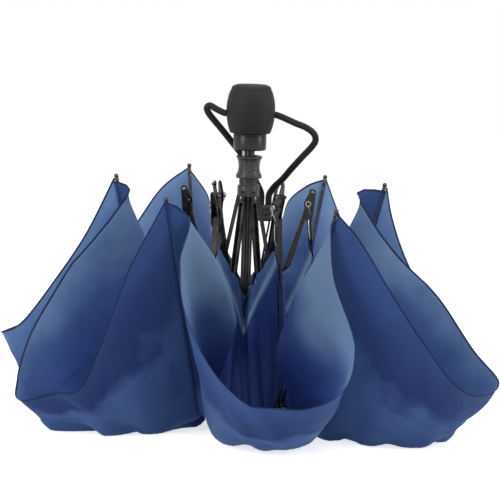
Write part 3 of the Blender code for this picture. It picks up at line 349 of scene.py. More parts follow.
def braided_cord():
    """Matt black polyester braid: crossing strands, each with its own roundness, and dry fibres."""
    material, tree, shader = new_finish("braided_polyester_cord", "#1b1b1d", 0.78, Specular_IOR_Level=0.2,
                                        Sheen_Weight=0.12, Sheen_Roughness=0.5)
    place = add_node(tree, "ShaderNodeUVMap", uv_map="UVMap")
    turned, along, _ = add_node(tree, "ShaderNodeSeparateXYZ", {0: place}).outputs
    steps = calculated(tree, "MULTIPLY", along, 1 / BRAID_PITCH)
    waves = []
    for way in (1, -1):
        slant = calculated(tree, "MULTIPLY", turned, way * BRAID_STRANDS / 2)
        angle = calculated(tree, "MULTIPLY", calculated(tree, "ADD", slant, steps), 2 * math.pi)
        waves.append(calculated(tree, "SINE", angle))
    raised = spread(tree, calculated(tree, "MULTIPLY", *waves), 0.0, 1.0, -1.0, 1.0)
    # The braid is painted darker in the grooves between strands: painted shade.
    feed(shader, Base_Color=toned(tree, raised, (0.0, linear("#101012")), (1.0, linear("#26262a"))),
         Normal=bumped(tree, raised, 0.5, 0.0004))
    return material


def moulded_nylon(name, colour):
    """Moulded nylon: half matt, with the mould's fine spark grain."""
    material, tree, shader = new_finish(name, colour, 0.42, Specular_IOR_Level=0.3)
    spark = grain(tree, object_place(tree), 2600.0, 3.0)
    feed(shader, Roughness=spread(tree, spark, 0.34, 0.56), Normal=bumped(tree, spark, 0.18, 0.0002))
    return material


def crimped_ferrule():
    """The CAD ferrule with two crimp grooves, closed and smoothly rounded."""
    low, high = (Vector(corner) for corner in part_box("cord_ferrule"))
    middle, half = (low + high) / 2, (high - low) / 2
    shape = bmesh.new()
    rings = []
    for share, rise in FERRULE_ROWS:
        ring = []
        for turn in turns(FERRULE_SIDES):
            reach = (abs(math.cos(turn)) ** FERRULE_SQUARENESS
                     + abs(math.sin(turn)) ** FERRULE_SQUARENESS) ** (-1 / FERRULE_SQUARENESS)
            ring.append(shape.verts.new((middle.x + half.x * share * reach * math.cos(turn),
                                         middle.y + half.y * share * reach * math.sin(turn),
                                         low.z + 2 * half.z * rise)))
        rings.append(ring)
    skin(shape, rings)
    return smooth(finished(shape), FERRULE_SHARPNESS)


ferrule_finish = moulded_nylon("dark_grey_nylon_ferrule", "#3a3a3d")
ferrule = add_piece("crimped_ferrule", crimped_ferrule(), ferrule_finish, "handle",
                    "cord_ferrule")
cord_finish = braided_cord()
under_exit, close = CORD_EXIT_Z - CORD_DIAMETER, CORD_STEP / 4
for side, way, route in (("left", -1, CORD_LEFT_ROUTE), ("right", 1, CORD_RIGHT_ROUTE)):
    line = even_route(route, CORD_STEP)
    free = [point for point in line if abs(point.x) >= CORD_EXIT_X or point.z < under_exit]
    exit_point = Vector((way * CORD_EXIT_X, free[0].y, free[0].z))
    free = [exit_point] + [point for point in free if (point - exit_point).length > close]
    buried = [point for point in line if abs(point.x) < CORD_EXIT_X - close and point.z > under_exit]
    cord = add_piece(f"wrist_cord_{side}", tube_mesh(free, CORD_DIAMETER / 2, CORD_SIDES), cord_finish,
                     "handle", f"cord_{side}")
    root = tube_mesh(buried + [exit_point], CORD_DIAMETER / 2 - ROOT_CLEARANCE, CORD_SIDES)
    add_piece(f"wrist_cord_root_{side}", root, cord_finish, "handle")
    length = sum((b - a).length for a, b in zip(free, free[1:]))


# Shaft
# Three drawn steel tubes that slide in each other, stoved satin black. Only the outer one shows
# between the ribs, and the inner one ends in the handle.
TUBE_SIDES = 64
TUBE_WALL = 0.0004
TUBE_RIM = 0.0001
LATHE_SHARPNESS = 40
CORNER_SHARE = 0.45
ON_AXIS = 1e-7


def on_circle(radius, turn, height):
    """The place at a radius, angle and height."""
    return (radius * math.cos(turn), radius * math.sin(turn), height)


def lathe_mesh(profile, sides, closed=True):
    """A profile of (radius, height) points turned round Z; closed joins its last point to its first."""
    shape = bmesh.new()
    rings = []
    for radius, height in profile:
        if radius < ON_AXIS:
            rings.append([shape.verts.new((0, 0, height))])
            continue
        rings.append([shape.verts.new(on_circle(radius, turn, height)) for turn in turns(sides)])
    pairs = list(zip(rings, rings[1:]))
    if closed:
        pairs.append((rings[-1], rings[0]))
    for upper, lower in pairs:
        for k in range(sides):
            after = (k + 1) % sides
            corners = [upper[k % len(upper)], lower[k % len(lower)], lower[after % len(lower)],
                       upper[after % len(upper)]]
            corners = [v for i, v in enumerate(corners) if v not in corners[:i]]
            if len(corners) > 2:
                shape.faces.new(corners)
    bmesh.ops.recalc_face_normals(shape, faces=shape.faces)
    return smooth(finished(shape), LATHE_SHARPNESS)


def rounded(profile, radius, steps=4, closed=True):
    """A (radius, height) profile with each corner rounded; corners on the axis stay."""
    points = [Vector(point) for point in profile]
    out = []
    count = len(points)
    for index, point in enumerate(points):
        before, after = points[index - 1], points[(index + 1) % count]
        on_end = not closed and index in (0, count - 1)
        if on_end or point.x < ON_AXIS:
            out.append(tuple(point))
            continue
        back, ahead = before - point, after - point
        size = min(radius, back.length * CORNER_SHARE, ahead.length * CORNER_SHARE)
        start, end = point + size * back.normalized(), point + size * ahead.normalized()
        for step in range(steps + 1):
            t = step / steps
            out.append(tuple((1 - t) ** 2 * start + 2 * t * (1 - t) * point + t ** 2 * end))
    return out


def lacquered_steel(name, colour, roughness):
    """Stoved black lacquer on steel: deep gloss with a slight orange peel and rubbed, paler patches."""
    material, tree, shader = new_finish(name, colour, roughness, Specular_IOR_Level=0.25,
                                        Coat_Weight=0.15, Coat_Roughness=0.08)
    place = object_place(tree)
    rubbed = grain(tree, place, 90.0, 5.0)
    feed(shader, Base_Color=toned(tree, rubbed, (0.45, linear(colour)), (0.75, linear("#2c2c30"))),
         Roughness=spread(tree, rubbed, roughness * 0.7, roughness * 1.8, 0.3, 0.8),
         Normal=bumped(tree, grain(tree, place, 420.0, 2.0), 0.12, 0.0003))
    return material


tube_finish = lacquered_steel("stoved_black_steel_tube", "#121214", 0.30)
for node, body in (("outer_tube", "crown"), ("middle_tube", "middle_shaft"), ("inner_tube", "handle")):
    low, high = (Vector(corner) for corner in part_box(node))
    bore = high.x - TUBE_WALL
    wall = rounded([(bore, high.z), (high.x, high.z), (high.x, low.z), (bore, low.z)], TUBE_RIM)
    add_piece(f"{node}_fine", lathe_mesh(wall, TUBE_SIDES), tube_finish, body, node)


# Runner
# One sleeve moulded in dark grey nylon: a rolled top lip, a finger waist with two fine rings, a
# flared lower flange, a ribbed skirt, and a slotted notch that holds the stretchers on a wire.
RIB_COUNT = 6
WEDGE = 2 * math.pi / RIB_COUNT
RUNNER_TOP = 0.2250
RUNNER_BOTTOM = 0.1905
RUNNER_SIDES = 96
RUNNER_BORE = 0.0049
CUT_BEYOND = 0.001
NOTCH_SLOT = (0.0056, 0.0220)
NOTCH_SLOT_HALF = 0.0016
NOTCH_SLOT_TOP = 0.1953
KEYWAY_HALF = 0.0017
KEYWAY_DEPTH = 0.0070
CARVED_SHARPNESS = 35
STRETCHER_PIVOT = Vector((0.0076, 0.1930))
SKIRT_RIBS = 30
SKIRT_RIB = (0.00028, 0.00042, 0.0023)
SKIRT_RADIUS = 0.0078
SKIRT_MIDDLE = 0.2031
RUNNER_PROFILE = (
    (0.0086, RUNNER_TOP), (0.0102, RUNNER_TOP), (0.0109, 0.2247), (0.0110, 0.2242), (0.0110, 0.2235),
    (0.0106, 0.2229), (0.0101, 0.2222), (0.0096, 0.2208), (0.0093, 0.2192), (0.0091, 0.2176),
    (0.0090, 0.2160), (0.0090, 0.2147), (0.00905, 0.2140), (0.0094, 0.2136), (0.0094, 0.2131),
    (0.0092, 0.2127), (0.0094, 0.2118), (0.0099, 0.2106), (0.0105, 0.2096), (0.0109, 0.2086),
    (0.0110, 0.2080), (0.0110, 0.2068), (0.0107, 0.2061), (0.0084, 0.2058), (0.0078, 0.2055),
    (0.0078, 0.2010), (0.0082, 0.2003), (0.0093, 0.1997), (0.0094, 0.1992), (0.0094, 0.1909),
    (0.0090, RUNNER_BOTTOM), (RUNNER_BORE, RUNNER_BOTTOM), (RUNNER_BORE, 0.2220), (0.0086, 0.2220))


def block_object(low, high, turn=0.0):
    """A cutting block between two corners, turned about Z."""
    shape = bmesh.new()
    bmesh.ops.create_cube(shape, size=1.0)
    low, high = Vector(low), Vector(high)
    bmesh.ops.scale(shape, vec=high - low, verts=shape.verts)
    bmesh.ops.translate(shape, vec=(low + high) / 2, verts=shape.verts)
    bmesh.ops.rotate(shape, matrix=Matrix.Rotation(turn, 3, "Z"), cent=(0, 0, 0), verts=shape.verts)
    return stand("cutting_block", finished(shape))


def baked(source, others=()):
    """The evaluated mesh of a working object, which is then removed with its helpers."""
    mesh = bpy.data.meshes.new_from_object(source.evaluated_get(bpy.context.evaluated_depsgraph_get()))
    for old in (source, *others):
        bpy.data.objects.remove(old, do_unlink=True)
    return mesh


def carved(mesh, cutters):
    """A mesh with each cutting block taken out of it."""
    work = stand("work", mesh)
    for cutter in cutters:
        step = work.modifiers.new("Slot", "BOOLEAN")
        step.operation = "DIFFERENCE"
        step.solver = "EXACT"
        step.object = cutter
    return smooth(baked(work, cutters), CARVED_SHARPNESS)


def pellet(segments, size):
    """A small smooth unit that is repeated, such as a moulded rib or a stitch, with its half sizes."""
    shape = bmesh.new()
    bmesh.ops.create_uvsphere(shape, u_segments=segments[0], v_segments=segments[1], radius=1.0)
    bmesh.ops.scale(shape, vec=size, verts=shape.verts)
    mesh = finished(shape)
    mesh.shade_smooth()
    return mesh


def glossy_nylon(name, colour, roughness):
    """Moulded nylon with an uneven, well-used shine: flow marks run along it."""
    material, tree, shader = new_finish(name, colour, roughness, Specular_IOR_Level=0.28)
    long = add_node(tree, "ShaderNodeMapping", {"Vector": object_place(tree), "Scale": (900, 900, 60)})
    flow = grain(tree, long, 1.0, 4.0)
    feed(shader, Base_Color=toned(tree, flow, (0.3, linear(colour, 0.7)), (0.75, linear(colour, 1.35))),
         Roughness=spread(tree, flow, roughness - 0.08, roughness + 0.14),
         Normal=bumped(tree, flow, 0.10, 0.0002))
    return material


def copies_tree():
    """Node group that stands one unit on each point, facing along the point's own direction."""
    tree = bpy.data.node_groups.new("stand_units_on_points", "GeometryNodeTree")
    face = tree.interface
    face.new_socket("Places", in_out="INPUT", socket_type="NodeSocketGeometry")
    unit = face.new_socket("Unit", in_out="INPUT", socket_type="NodeSocketObject")
    finish = face.new_socket("Finish", in_out="INPUT", socket_type="NodeSocketMaterial")
    face.new_socket("Row", in_out="OUTPUT", socket_type="NodeSocketGeometry")
    given = add_node(tree, "NodeGroupInput").outputs
    info = add_node(tree, "GeometryNodeObjectInfo", {"Object": given["Unit"]}).outputs["Geometry"]
    facing = add_node(tree, "GeometryNodeInputNamedAttribute", {"Name": "facing"}, data_type="FLOAT_VECTOR")
    turn = add_node(tree, "FunctionNodeAlignRotationToVector", {"Vector": facing.outputs["Attribute"]},
                    axis="Z")
    stood = add_node(tree, "GeometryNodeInstanceOnPoints", {"Points": given["Places"], "Instance": info,
                                                            "Rotation": turn})
    whole = add_node(tree, "GeometryNodeRealizeInstances", {0: stood})
    painted = add_node(tree, "GeometryNodeSetMaterial", {"Geometry": whole, "Material": given["Finish"]})
    add_node(tree, "NodeGroupOutput", {0: painted})
    return tree, unit.identifier, finish.identifier


units_on_points = copies_tree()


def stand_units(name, unit, places, facings, material):
    """A row of equal units, such as rivets or stitches, as one plain mesh in its finish."""
    tree, unit_socket, finish_socket = units_on_points
    points = bpy.data.meshes.new("points")
    points.from_pydata([tuple(place) for place in places], [], [])
    facing = points.attributes.new("facing", "FLOAT_VECTOR", "POINT")
    facing.data.foreach_set("vector", [float(v) for direction in facings for v in direction])
    row = stand("row", points)
    pattern = stand("unit", unit)
    step = row.modifiers.new("Row", "NODES")
    step.node_group = tree
    step[unit_socket] = pattern
    step[finish_socket] = material
    return stand(name, baked(row, (pattern,)))


slots = [block_object((NOTCH_SLOT[0], -NOTCH_SLOT_HALF, RUNNER_BOTTOM - CUT_BEYOND),
                      (NOTCH_SLOT[1], NOTCH_SLOT_HALF, NOTCH_SLOT_TOP), k * WEDGE) for k in range(RIB_COUNT)]
slots.append(block_object((-KEYWAY_HALF, 0, RUNNER_BOTTOM - CUT_BEYOND),
                          (KEYWAY_HALF, KEYWAY_DEPTH, RUNNER_TOP + CUT_BEYOND)))
runner_finish = glossy_nylon("dark_grey_runner_nylon", "#333336", 0.30)
add_piece("moulded_runner", carved(lathe_mesh(RUNNER_PROFILE, RUNNER_SIDES), slots), runner_finish,
          "runner_unit", "runner")
skirt = [on_circle(SKIRT_RADIUS, turn, SKIRT_MIDDLE) for turn in turns(SKIRT_RIBS, 0.5)]
ribbing = stand_units("runner_skirt_ribs", pellet((8, 8), SKIRT_RIB), skirt, [(0, 0, 1)] * SKIRT_RIBS,
                      runner_finish)
settle(ribbing, "runner_unit")


# Wire rings
# A turn of bright spring wire through the ribs' eyes at the crown, and another through the
# stretchers' eyes at the runner. Each is drawn whole, without the twist that closes the real one.
CROWN_PIVOT = Vector((0.0080, 0.0260))
RING_POINTS = 72
RING_WIRE_RADIUS = 0.0005
WIRE_SIDES = 10


def drawn_wire(name, colour, roughness):
    """Drawn spring steel: bright, with fine drawing lines and a little oil-dark staining."""
    material, tree, shader = new_finish(name, colour, roughness, 1.0)
    place = object_place(tree)
    stain = grain(tree, place, 160.0, 4.0)
    feed(shader, Base_Color=toned(tree, stain, (0.35, linear(colour, 0.55)), (0.6, linear(colour))),
         Roughness=spread(tree, grain(tree, place, 1500.0, 3.0), roughness * 0.7, roughness * 1.5))
    return material


bright_wire = drawn_wire("bright_spring_wire", "#b9b9bb", 0.28)
for node, pivot, body in (("crown_wire_ring", CROWN_PIVOT, "crown"),
                          ("runner_wire_ring", STRETCHER_PIVOT, "runner_unit")):
    wire = [Vector(on_circle(pivot.x, turn, pivot.y)) for turn in turns(RING_POINTS)]
    add_piece(f"{node}_wire", tube_mesh(wire + wire[:1], RING_WIRE_RADIUS, WIRE_SIDES), bright_wire, body,
              node)


# Handle
# A barrel grip of soft black rubber over a nylon core, a satin collar under it, and a sprung steel
# hook in the collar's mouth that holds the shut runner. The cord leaves by a hole at each side.
GRIP_TOP = 0.2856
GRIP_FOOT = 0.2443
GRIP_RIM = GRIP_TOP - 0.0046
RIM_CENTRE = 0.0134
RIM_ROUNDING = 0.0036
RIM_STEPS = 7
BELLY_STEPS = 24
BELLY_SWELL = 0.0034
GRIP_CORE = (0.0113, 0.2723)
COLLAR_TOP = 0.2440
COLLAR_BOTTOM = 0.2300
COLLAR_MOUTH = 0.2395
HANDLE_SIDES = 128
CUTTER_SIDES = 40
CORD_HOLE = (0.0126, 0.0400)
CORD_HOLE_RADIUS = 0.0034
PIN_HEIGHT = 0.2520
PIN_HOLE_RADIUS = 0.0013
PIN_HOLE_REACH = 0.022
HOOK_TURN = math.radians(218)
HOOK_POCKET = (0.0079, 0.0017, 0.2370)
COLLAR_PROFILE = (
    (0, 0.2720), (0.0098, 0.2720), (0.0110, 0.2708), (0.0110, COLLAR_TOP), (0.0136, COLLAR_TOP),
    (0.0140, COLLAR_TOP - 0.0004), (0.0140, COLLAR_TOP - 0.0012), (0.0138, COLLAR_TOP - 0.0014),
    (0.0140, COLLAR_TOP - 0.0017), (0.0140, COLLAR_BOTTOM + 0.0012), (0.01365, COLLAR_BOTTOM + 0.0004),
    (0.0130, COLLAR_BOTTOM), (0.0056, COLLAR_BOTTOM), (0.0052, COLLAR_BOTTOM + 0.0004),
    (0.0052, COLLAR_MOUTH), (0.0032, COLLAR_MOUTH), (0.0032, 0.2623), (0, 0.2623))


def grip_profile():
    """The barrel's section: a shallow domed top, a soft rim, a full belly and a tucked foot."""
    profile = [(0, GRIP_TOP - 0.0002), (0.0060, GRIP_TOP - 0.00025), (0.0105, GRIP_TOP - 0.0004),
               (0.0128, GRIP_TOP - 0.0005), (0.0140, GRIP_TOP - 0.0010)]
    for step in range(1, RIM_STEPS + 1):
        turn = math.pi / 2 * step / RIM_STEPS
        profile.append((RIM_CENTRE + RIM_ROUNDING * math.sin(turn),
                        GRIP_RIM + RIM_ROUNDING * math.cos(turn)))
    for step in range(1, BELLY_STEPS + 1):
        share = step / BELLY_STEPS
        edge = 0.0170 + 0.0005 * share
        swell = BELLY_SWELL * math.sin(math.pi * share ** 0.92) ** 0.80
        profile.append((edge + swell, GRIP_RIM - (GRIP_RIM - GRIP_FOOT - 0.0014) * share))
    return profile + [(0.0173, GRIP_FOOT + 0.0005), (0.0166, GRIP_FOOT), (GRIP_CORE[0], GRIP_FOOT),
                      GRIP_CORE, (0, GRIP_CORE[1])]


def soft_rubber():
    """Moulded soft rubber: dull, with a fine even grain and faint up-and-down draw lines."""
    material, tree, shader = new_finish("black_soft_touch_rubber", "#161617", 0.62, Specular_IOR_Level=0.22)
    place = object_place(tree)
    stretch = add_node(tree, "ShaderNodeMapping", {"Vector": place, "Scale": (1400, 1400, 35)})
    draw = grain(tree, stretch, 1.0, 2.0)
    both = calculated(tree, "ADD", grain(tree, place, 1900.0, 2.0), draw)
    feed(shader, Base_Color=toned(tree, spread(tree, both, 0.0, 1.0, 0.7, 1.3), (0.0, linear("#121213")),
                                  (1.0, linear("#1d1d1e"))),
         Roughness=spread(tree, draw, 0.52, 0.74), Normal=bumped(tree, both, 0.35, 0.00025))
    return material


def round_cutter(start, end, radius):
    """A cutting rod between two points."""
    start, end = Vector(start), Vector(end)
    return stand("cutting_rod", tube_mesh([start, (start + end) / 2, end], radius, CUTTER_SIDES))


def dress(material, *nodes):
    """Give CAD nodes whose shape is right their finish."""
    for node in nodes:
        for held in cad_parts[node].material_slots:
            held.material = material


holes = [round_cutter((side * CORD_HOLE[0], 0, CORD_EXIT_Z), (side * CORD_HOLE[1], 0, CORD_EXIT_Z),
                      CORD_HOLE_RADIUS) for side in (-1, 1)]
grip = carved(lathe_mesh(grip_profile(), HANDLE_SIDES, closed=False), holes)
add_piece("barrel_grip", grip, soft_rubber(), "handle", "handle_grip")
cutters = [block_object((0, -HOOK_POCKET[1], COLLAR_BOTTOM - 0.0004), HOOK_POCKET, HOOK_TURN),
           round_cutter((0, -PIN_HOLE_REACH, PIN_HEIGHT), (0, PIN_HOLE_REACH, PIN_HEIGHT), PIN_HOLE_RADIUS)]
collar = carved(lathe_mesh(COLLAR_PROFILE, HANDLE_SIDES, closed=False), cutters)
add_piece("satin_collar", collar, glossy_nylon("satin_black_collar_nylon", "#1b1b1c", 0.30), "handle",
          "handle_collar")
dress(bright_wire, "closing_catch", "opening_catch", "handle_pin")


# Crown
# The cap on the shaft's lower end, the washer that clamps the cloth on it, and the slotted notch
# that holds the main ribs on their wire, all moulded in black nylon.
CROWN_SIDES = 96
CAP_ROUNDING = 0.0008
WASHER_ROUNDING = 0.0003
CAP_PROFILE = ((0, 0.0080), (0.0048, 0.0080), (0.0048, 0.0160), (0.0100, 0.0160), (0.0125, 0.0045),
               (0.0125, 0.0033), (0.0105, 0.0), (0, 0.0))
WASHER_PROFILE = ((0.0048, 0.0173), (0.0110, 0.0173), (0.0110, 0.0163), (0.0048, 0.0163))
crown_finish = glossy_nylon("black_crown_nylon", "#1c1c1e", 0.36)
cap = lathe_mesh(rounded(CAP_PROFILE, CAP_ROUNDING, closed=False), CROWN_SIDES, closed=False)
add_piece("moulded_crown_cap", cap, crown_finish, "crown", "crown_cap")
washer = lathe_mesh(rounded(WASHER_PROFILE, WASHER_ROUNDING), CROWN_SIDES)
add_piece("cloth_washer", washer, crown_finish, "crown", "crown_washer")
dress(crown_finish, "crown_notch")


# Ribs
# Six folded ribs of black lacquered steel: a channel, a forked channel, a round rod, a stretcher and
# a thin link bar, joined by rivets. A pressed cheek plate stiffens each knee, a torsion spring there
# keeps the middle rib folded, and a bright wire in the middle rib's channel works the outer rib.
KNEE = Vector((0.0510, 0.1860))
ELBOW = Vector((0.0660, 0.0190))
STRETCHER_REACH = 0.4311 * (STRETCHER_PIVOT.y - CROWN_PIVOT.y)
LINK_SETBACK = -0.0100
OUTER_LENGTH = 0.1930
OUTER_HEADINGS = [math.radians(turn) for turn in (15.0, 21.5, 12.0, 14.0, 20.0, 23.5)]
FORK_FACE = 0.0025
LINK_FACE = 0.0040
RIVET_SEAT = 0.0005
ROD_RADIUS = 0.0011
ROD_SIDES = 16
ROD_START = 0.0028
ROD_PIECES = 24
TIP_LENGTH = 0.0075
CHEEK_REACH = 0.0140
CHEEK_THICKNESS = 0.0009
CHEEK_CHAMFER = 0.0003
CHEEK_CLEARANCE = 0.0001
CHEEK_RADII = (0.0028, 0.0036, 0.0027)
CRANK = Vector((0.0035, 0.0094))
CRANK_EYE_RADIUS = 0.0030
CRANK_EYE_FACES = (0.0020, 0.00245)
EYE_SIDES = 32
CRANK_EYE_ROUNDING = 0.0002
ROD_EYE_ROUNDING = 0.0004
COIL_TURNS = 3.25
COIL_RADIUS = 0.0021
COIL_START = 0.0041
COIL_DEPTH = 0.0021
COIL_STEPS = 60
COIL_LEG = [(-0.0006, -0.0058, 0.0050), (-0.0012, -0.0040, 0.0090), (-0.0014, -0.0031, 0.0130)]
COIL_WIRE_RADIUS = 0.00032
COIL_WIRE_SIDES = 8
CONTROL_WIRE = ((0.0004, -0.0030, CHEEK_REACH - 0.0010), (0.0007, -0.0036, CHEEK_REACH + 0.0040),
                (0.0007, -0.0036, CHEEK_REACH + 0.0120), (0.0004, -0.0028, CHEEK_REACH + 0.0160),
                (0.0, -0.0012, CHEEK_REACH + 0.0200))
CONTROL_WIRE_RADIUS = 0.00048
RIVET_SIDES = 20
BEAD_SIDES = 24
RIVET_PROFILE = ((0, 0.00078), (0.0005, 0.00074), (0.0009, 0.00060), (0.0012, 0.00036), (0.00135, 0.00010),
                 (0.00145, 0.00004), (0.00145, -0.0003), (0, -0.0003))
ROD_EYE_PROFILE = ((0.0010, 0.0014), (0.0024, 0.0014), (0.0024, -0.0014), (0.0010, -0.0014))
BEAD_PROFILE = ((0, 0.1930), (0.0008, 0.19285), (0.0015, 0.1923), (0.0019, 0.1915), (0.0020, 0.1908),
                (0.0018, 0.1900), (0.0014, 0.1894), (0.0012, 0.1891), (0.0014, 0.1887), (0.0015, 0.1882),
                (0.0015, 0.1864), (0.0013, 0.1860), (0.0015, 0.1857), (0.0015, 0.1853), (0.0012, 0.1851),
                (0, 0.1851))


def line_angle(start, end):
    """Angle from straight up, outwards, of the line between two (radius, height) points."""
    return math.atan2(end.x - start.x, end.y - start.y)


def step_along(start, heading, distance):
    """The (radius, height) point at a distance from another one."""
    return start + distance * Vector((math.sin(heading), math.cos(heading)))


def rib_matrix(number, pivot, heading):
    """From a rib piece's own frame, along +Z from its pivot, to its place on the umbrella."""
    turn = Matrix.Rotation((number - 1) * WEDGE, 4, "Z")
    return turn @ Matrix.Translation((pivot.x, 0, pivot.y)) @ Matrix.Rotation(heading, 4, "Y")


def cheek_plate(centres):
    """A flat pressed plate with round ends and chamfered rims, on the left face of a rib's fork."""
    shape = bmesh.new()
    layers = ((0, 0), (CHEEK_THICKNESS - CHEEK_CHAMFER, 0), (CHEEK_THICKNESS, CHEEK_CHAMFER))
    for centre, radius in zip(centres, CHEEK_RADII):
        for turn in turns(EYE_SIDES):
            for depth, inset in layers:
                shape.verts.new((centre.x + (radius - inset) * math.cos(turn),
                                 -FORK_FACE - CHEEK_CLEARANCE - depth,
                                 centre.y + (radius - inset) * math.sin(turn)))
    hull = bmesh.ops.convex_hull(shape, input=shape.verts)
    spare = hull["geom_interior"] + hull["geom_unused"]
    inside = {part for part in spare if isinstance(part, bmesh.types.BMVert)}
    bmesh.ops.delete(shape, geom=list(inside), context="VERTS")
    bmesh.ops.recalc_face_normals(shape, faces=shape.faces)
    return finished(shape)


def placed(mesh, matrix):
    """A mesh moved to its place."""
    mesh.transform(matrix)
    return mesh


def placed_tube(matrix, points, radius, sides):
    """A round tube along points that are given in another frame."""
    return tube_mesh([matrix @ Vector(point) for point in points], radius, sides)


main_heading, middle_heading = line_angle(CROWN_PIVOT, KNEE), line_angle(KNEE, ELBOW)
middle_length = (ELBOW - KNEE).length
stretcher_end = step_along(CROWN_PIVOT, main_heading, STRETCHER_REACH)
stretcher_heading = line_angle(STRETCHER_PIVOT, stretcher_end)
stretcher_length = (stretcher_end - STRETCHER_PIVOT).length
link_start = step_along(stretcher_end, stretcher_heading, LINK_SETBACK)
link_end = KNEE + CRANK
crank = link_end - KNEE
below = step_along(Vector((0, 0)), middle_heading, CHEEK_REACH)
face = FORK_FACE + RIVET_SEAT
coil = []
for step in range(COIL_STEPS + 1):
    turn = 2 * math.pi * COIL_TURNS * step / COIL_STEPS
    coil.append((COIL_RADIUS * math.cos(turn), -COIL_START - COIL_DEPTH * step / COIL_STEPS,
                 COIL_RADIUS * math.sin(turn)))
rod_line = [(0, 0, ROD_START + (OUTER_LENGTH - TIP_LENGTH - ROD_START) * step / ROD_PIECES)
            for step in range(ROD_PIECES + 1)]
low, high = CRANK_EYE_FACES
crank_eye_profile = rounded([(0, high), (CRANK_EYE_RADIUS, high), (CRANK_EYE_RADIUS, low), (0, low)],
                            CRANK_EYE_ROUNDING)
rib_lacquer = lacquered_steel("black_lacquered_rib_steel", "#0b0b0c", 0.16)
rivet_finish = drawn_wire("black_nickel_rivet", "#6a6967", 0.24)
tip_finish = drawn_wire("dull_nickel_tip", "#4b4a48", 0.30)
rivet = lathe_mesh(RIVET_PROFILE, RIVET_SIDES, closed=False)
for number in range(1, RIB_COUNT + 1):
    dress(rib_lacquer, *(f"{node}_{number}" for node in ("main_rib", "stretcher", "link_bar", "middle_rib")))
    middle = rib_matrix(number, KNEE, middle_heading)
    upright = rib_matrix(number, KNEE, 0.0)
    strut = rib_matrix(number, STRETCHER_PIVOT, stretcher_heading)
    bar = rib_matrix(number, link_start, line_angle(link_start, link_end))
    outer = rib_matrix(number, ELBOW, OUTER_HEADINGS[number - 1])
    on_middle, on_outer = f"middle_rib_{number}", f"outer_rib_{number}"

    across = (middle.to_3x3() @ Vector((0, 1, 0))).normalized()
    knee_places = [middle @ Vector((0, side * face, z)) for z in (0, middle_length) for side in (1, -1)]
    knee_places[1] -= across * CHEEK_THICKNESS
    knee_places += [upright @ Vector((crank.x, face, crank.y)),
                    upright @ Vector((crank.x, -face - CHEEK_THICKNESS, crank.y))]
    strut_places = [strut @ Vector((0, side * face, stretcher_length)) for side in (1, -1)]
    link_places = [bar @ Vector((0, LINK_FACE + RIVET_SEAT, z)) for z in (0, (link_end - link_start).length)]
    for name, places, sides, body in (("knee_and_elbow", knee_places, (1, -1, 1, -1, 1, -1), "middle_rib"),
                                      ("stretcher", strut_places, (1, -1), "stretcher"),
                                      ("link", link_places, (1, 1), "link_bar")):
        rivets = stand_units(f"{name}_rivets_{number}", rivet, places, [side * across for side in sides],
                             rivet_finish)
        settle(rivets, f"{body}_{number}")

    spring = placed_tube(middle, coil + COIL_LEG, COIL_WIRE_RADIUS, COIL_WIRE_SIDES)
    add_piece(f"knee_spring_{number}", spring, bright_wire, on_middle)
    cheek = placed(cheek_plate((crank, Vector((0, 0)), below)), upright)
    add_piece(f"knee_cheek_{number}", cheek, rib_lacquer, on_middle)
    at_crank = upright @ Matrix.Translation((crank.x, 0, crank.y)) @ Matrix.Rotation(-math.pi / 2, 4, "X")
    crank_eye = placed(lathe_mesh(crank_eye_profile, EYE_SIDES, closed=False), at_crank)
    add_piece(f"crank_eye_{number}", crank_eye, rib_lacquer, on_middle)
    control_wire = placed_tube(middle, CONTROL_WIRE, CONTROL_WIRE_RADIUS, WIRE_SIDES)
    add_piece(f"control_wire_{number}", control_wire, bright_wire, on_middle)

    rod = placed_tube(outer, rod_line, ROD_RADIUS, ROD_SIDES)
    add_piece(f"outer_rod_{number}", rod, rib_lacquer, on_outer, on_outer)
    rod_eye = placed(lathe_mesh(rounded(ROD_EYE_PROFILE, ROD_EYE_ROUNDING), EYE_SIDES),
                     outer @ Matrix.Rotation(math.pi / 2, 4, "X"))
    add_piece(f"rod_eye_{number}", rod_eye, rib_lacquer, on_outer)
    bead = placed(lathe_mesh(BEAD_PROFILE, BEAD_SIDES, closed=False), outer)
    add_piece(f"tip_bead_{number}", bead, tip_finish, on_outer, f"rib_tip_{number}")


# Canopy cloth
# Six gores of thin coated pongee, clamped under the crown's washer. Each goes up inside its folded
# ribs, over a slack crest, down again, along the floor and up to a rolled and stitched hem. A seam
# or tape follows each rib. The stitches are coarser than real ones, so that they can be seen.
CLOTH_THICKNESS = 0.00030
THINNESS = 0.46
HEM_WIDTH = 0.0017
HEM_FLATNESS = 0.32
SEAM_WIDTH = 0.0012
SEAM_FLATNESS = 0.40
TAPE_WIDTH = 0.0013
TAPE_FLATNESS = 0.10
TAPE_SLANT = 0.25
TAPE_STANDOFF = 0.0014
TRIM_SIDES = 10
STITCH_LENGTH = 0.0017
STITCH_WIDTH = 0.00042
STITCH_STEP = 0.0029
STITCH_STANDOFF = 0.0005
CLOTH_STANDOFF = 0.0026
HUB_HEIGHT = 0.0182
HUB_RADII = (0.0065, 0.0116)
CREST = (0.1520, 0.1460)
SAG_INNER = Vector((0.0205, 0.1080))
SAG_OUTER = Vector((0.0310, 0.0780))
FLOOR_START = Vector((0.0500, 0.0016))
FLOOR_HEIGHT = 0.0008
HEM_REACH = 0.2500
COLUMNS = 88
ROW_PIECES = (3, 8, 9, 9, 4, 5, 10, 10, 8, 6, 8, 11, 11, 11, 11)
ROW_STARTS = [sum(ROW_PIECES[:row]) for row in range(len(ROW_PIECES) + 1)]
MAIN_ROWS = np.interp(np.arange(ROW_STARTS[-1] + 1), ROW_STARTS, np.arange(len(ROW_STARTS)))
INSIDE_SHARES = (0.28, 0.64, 1.0)
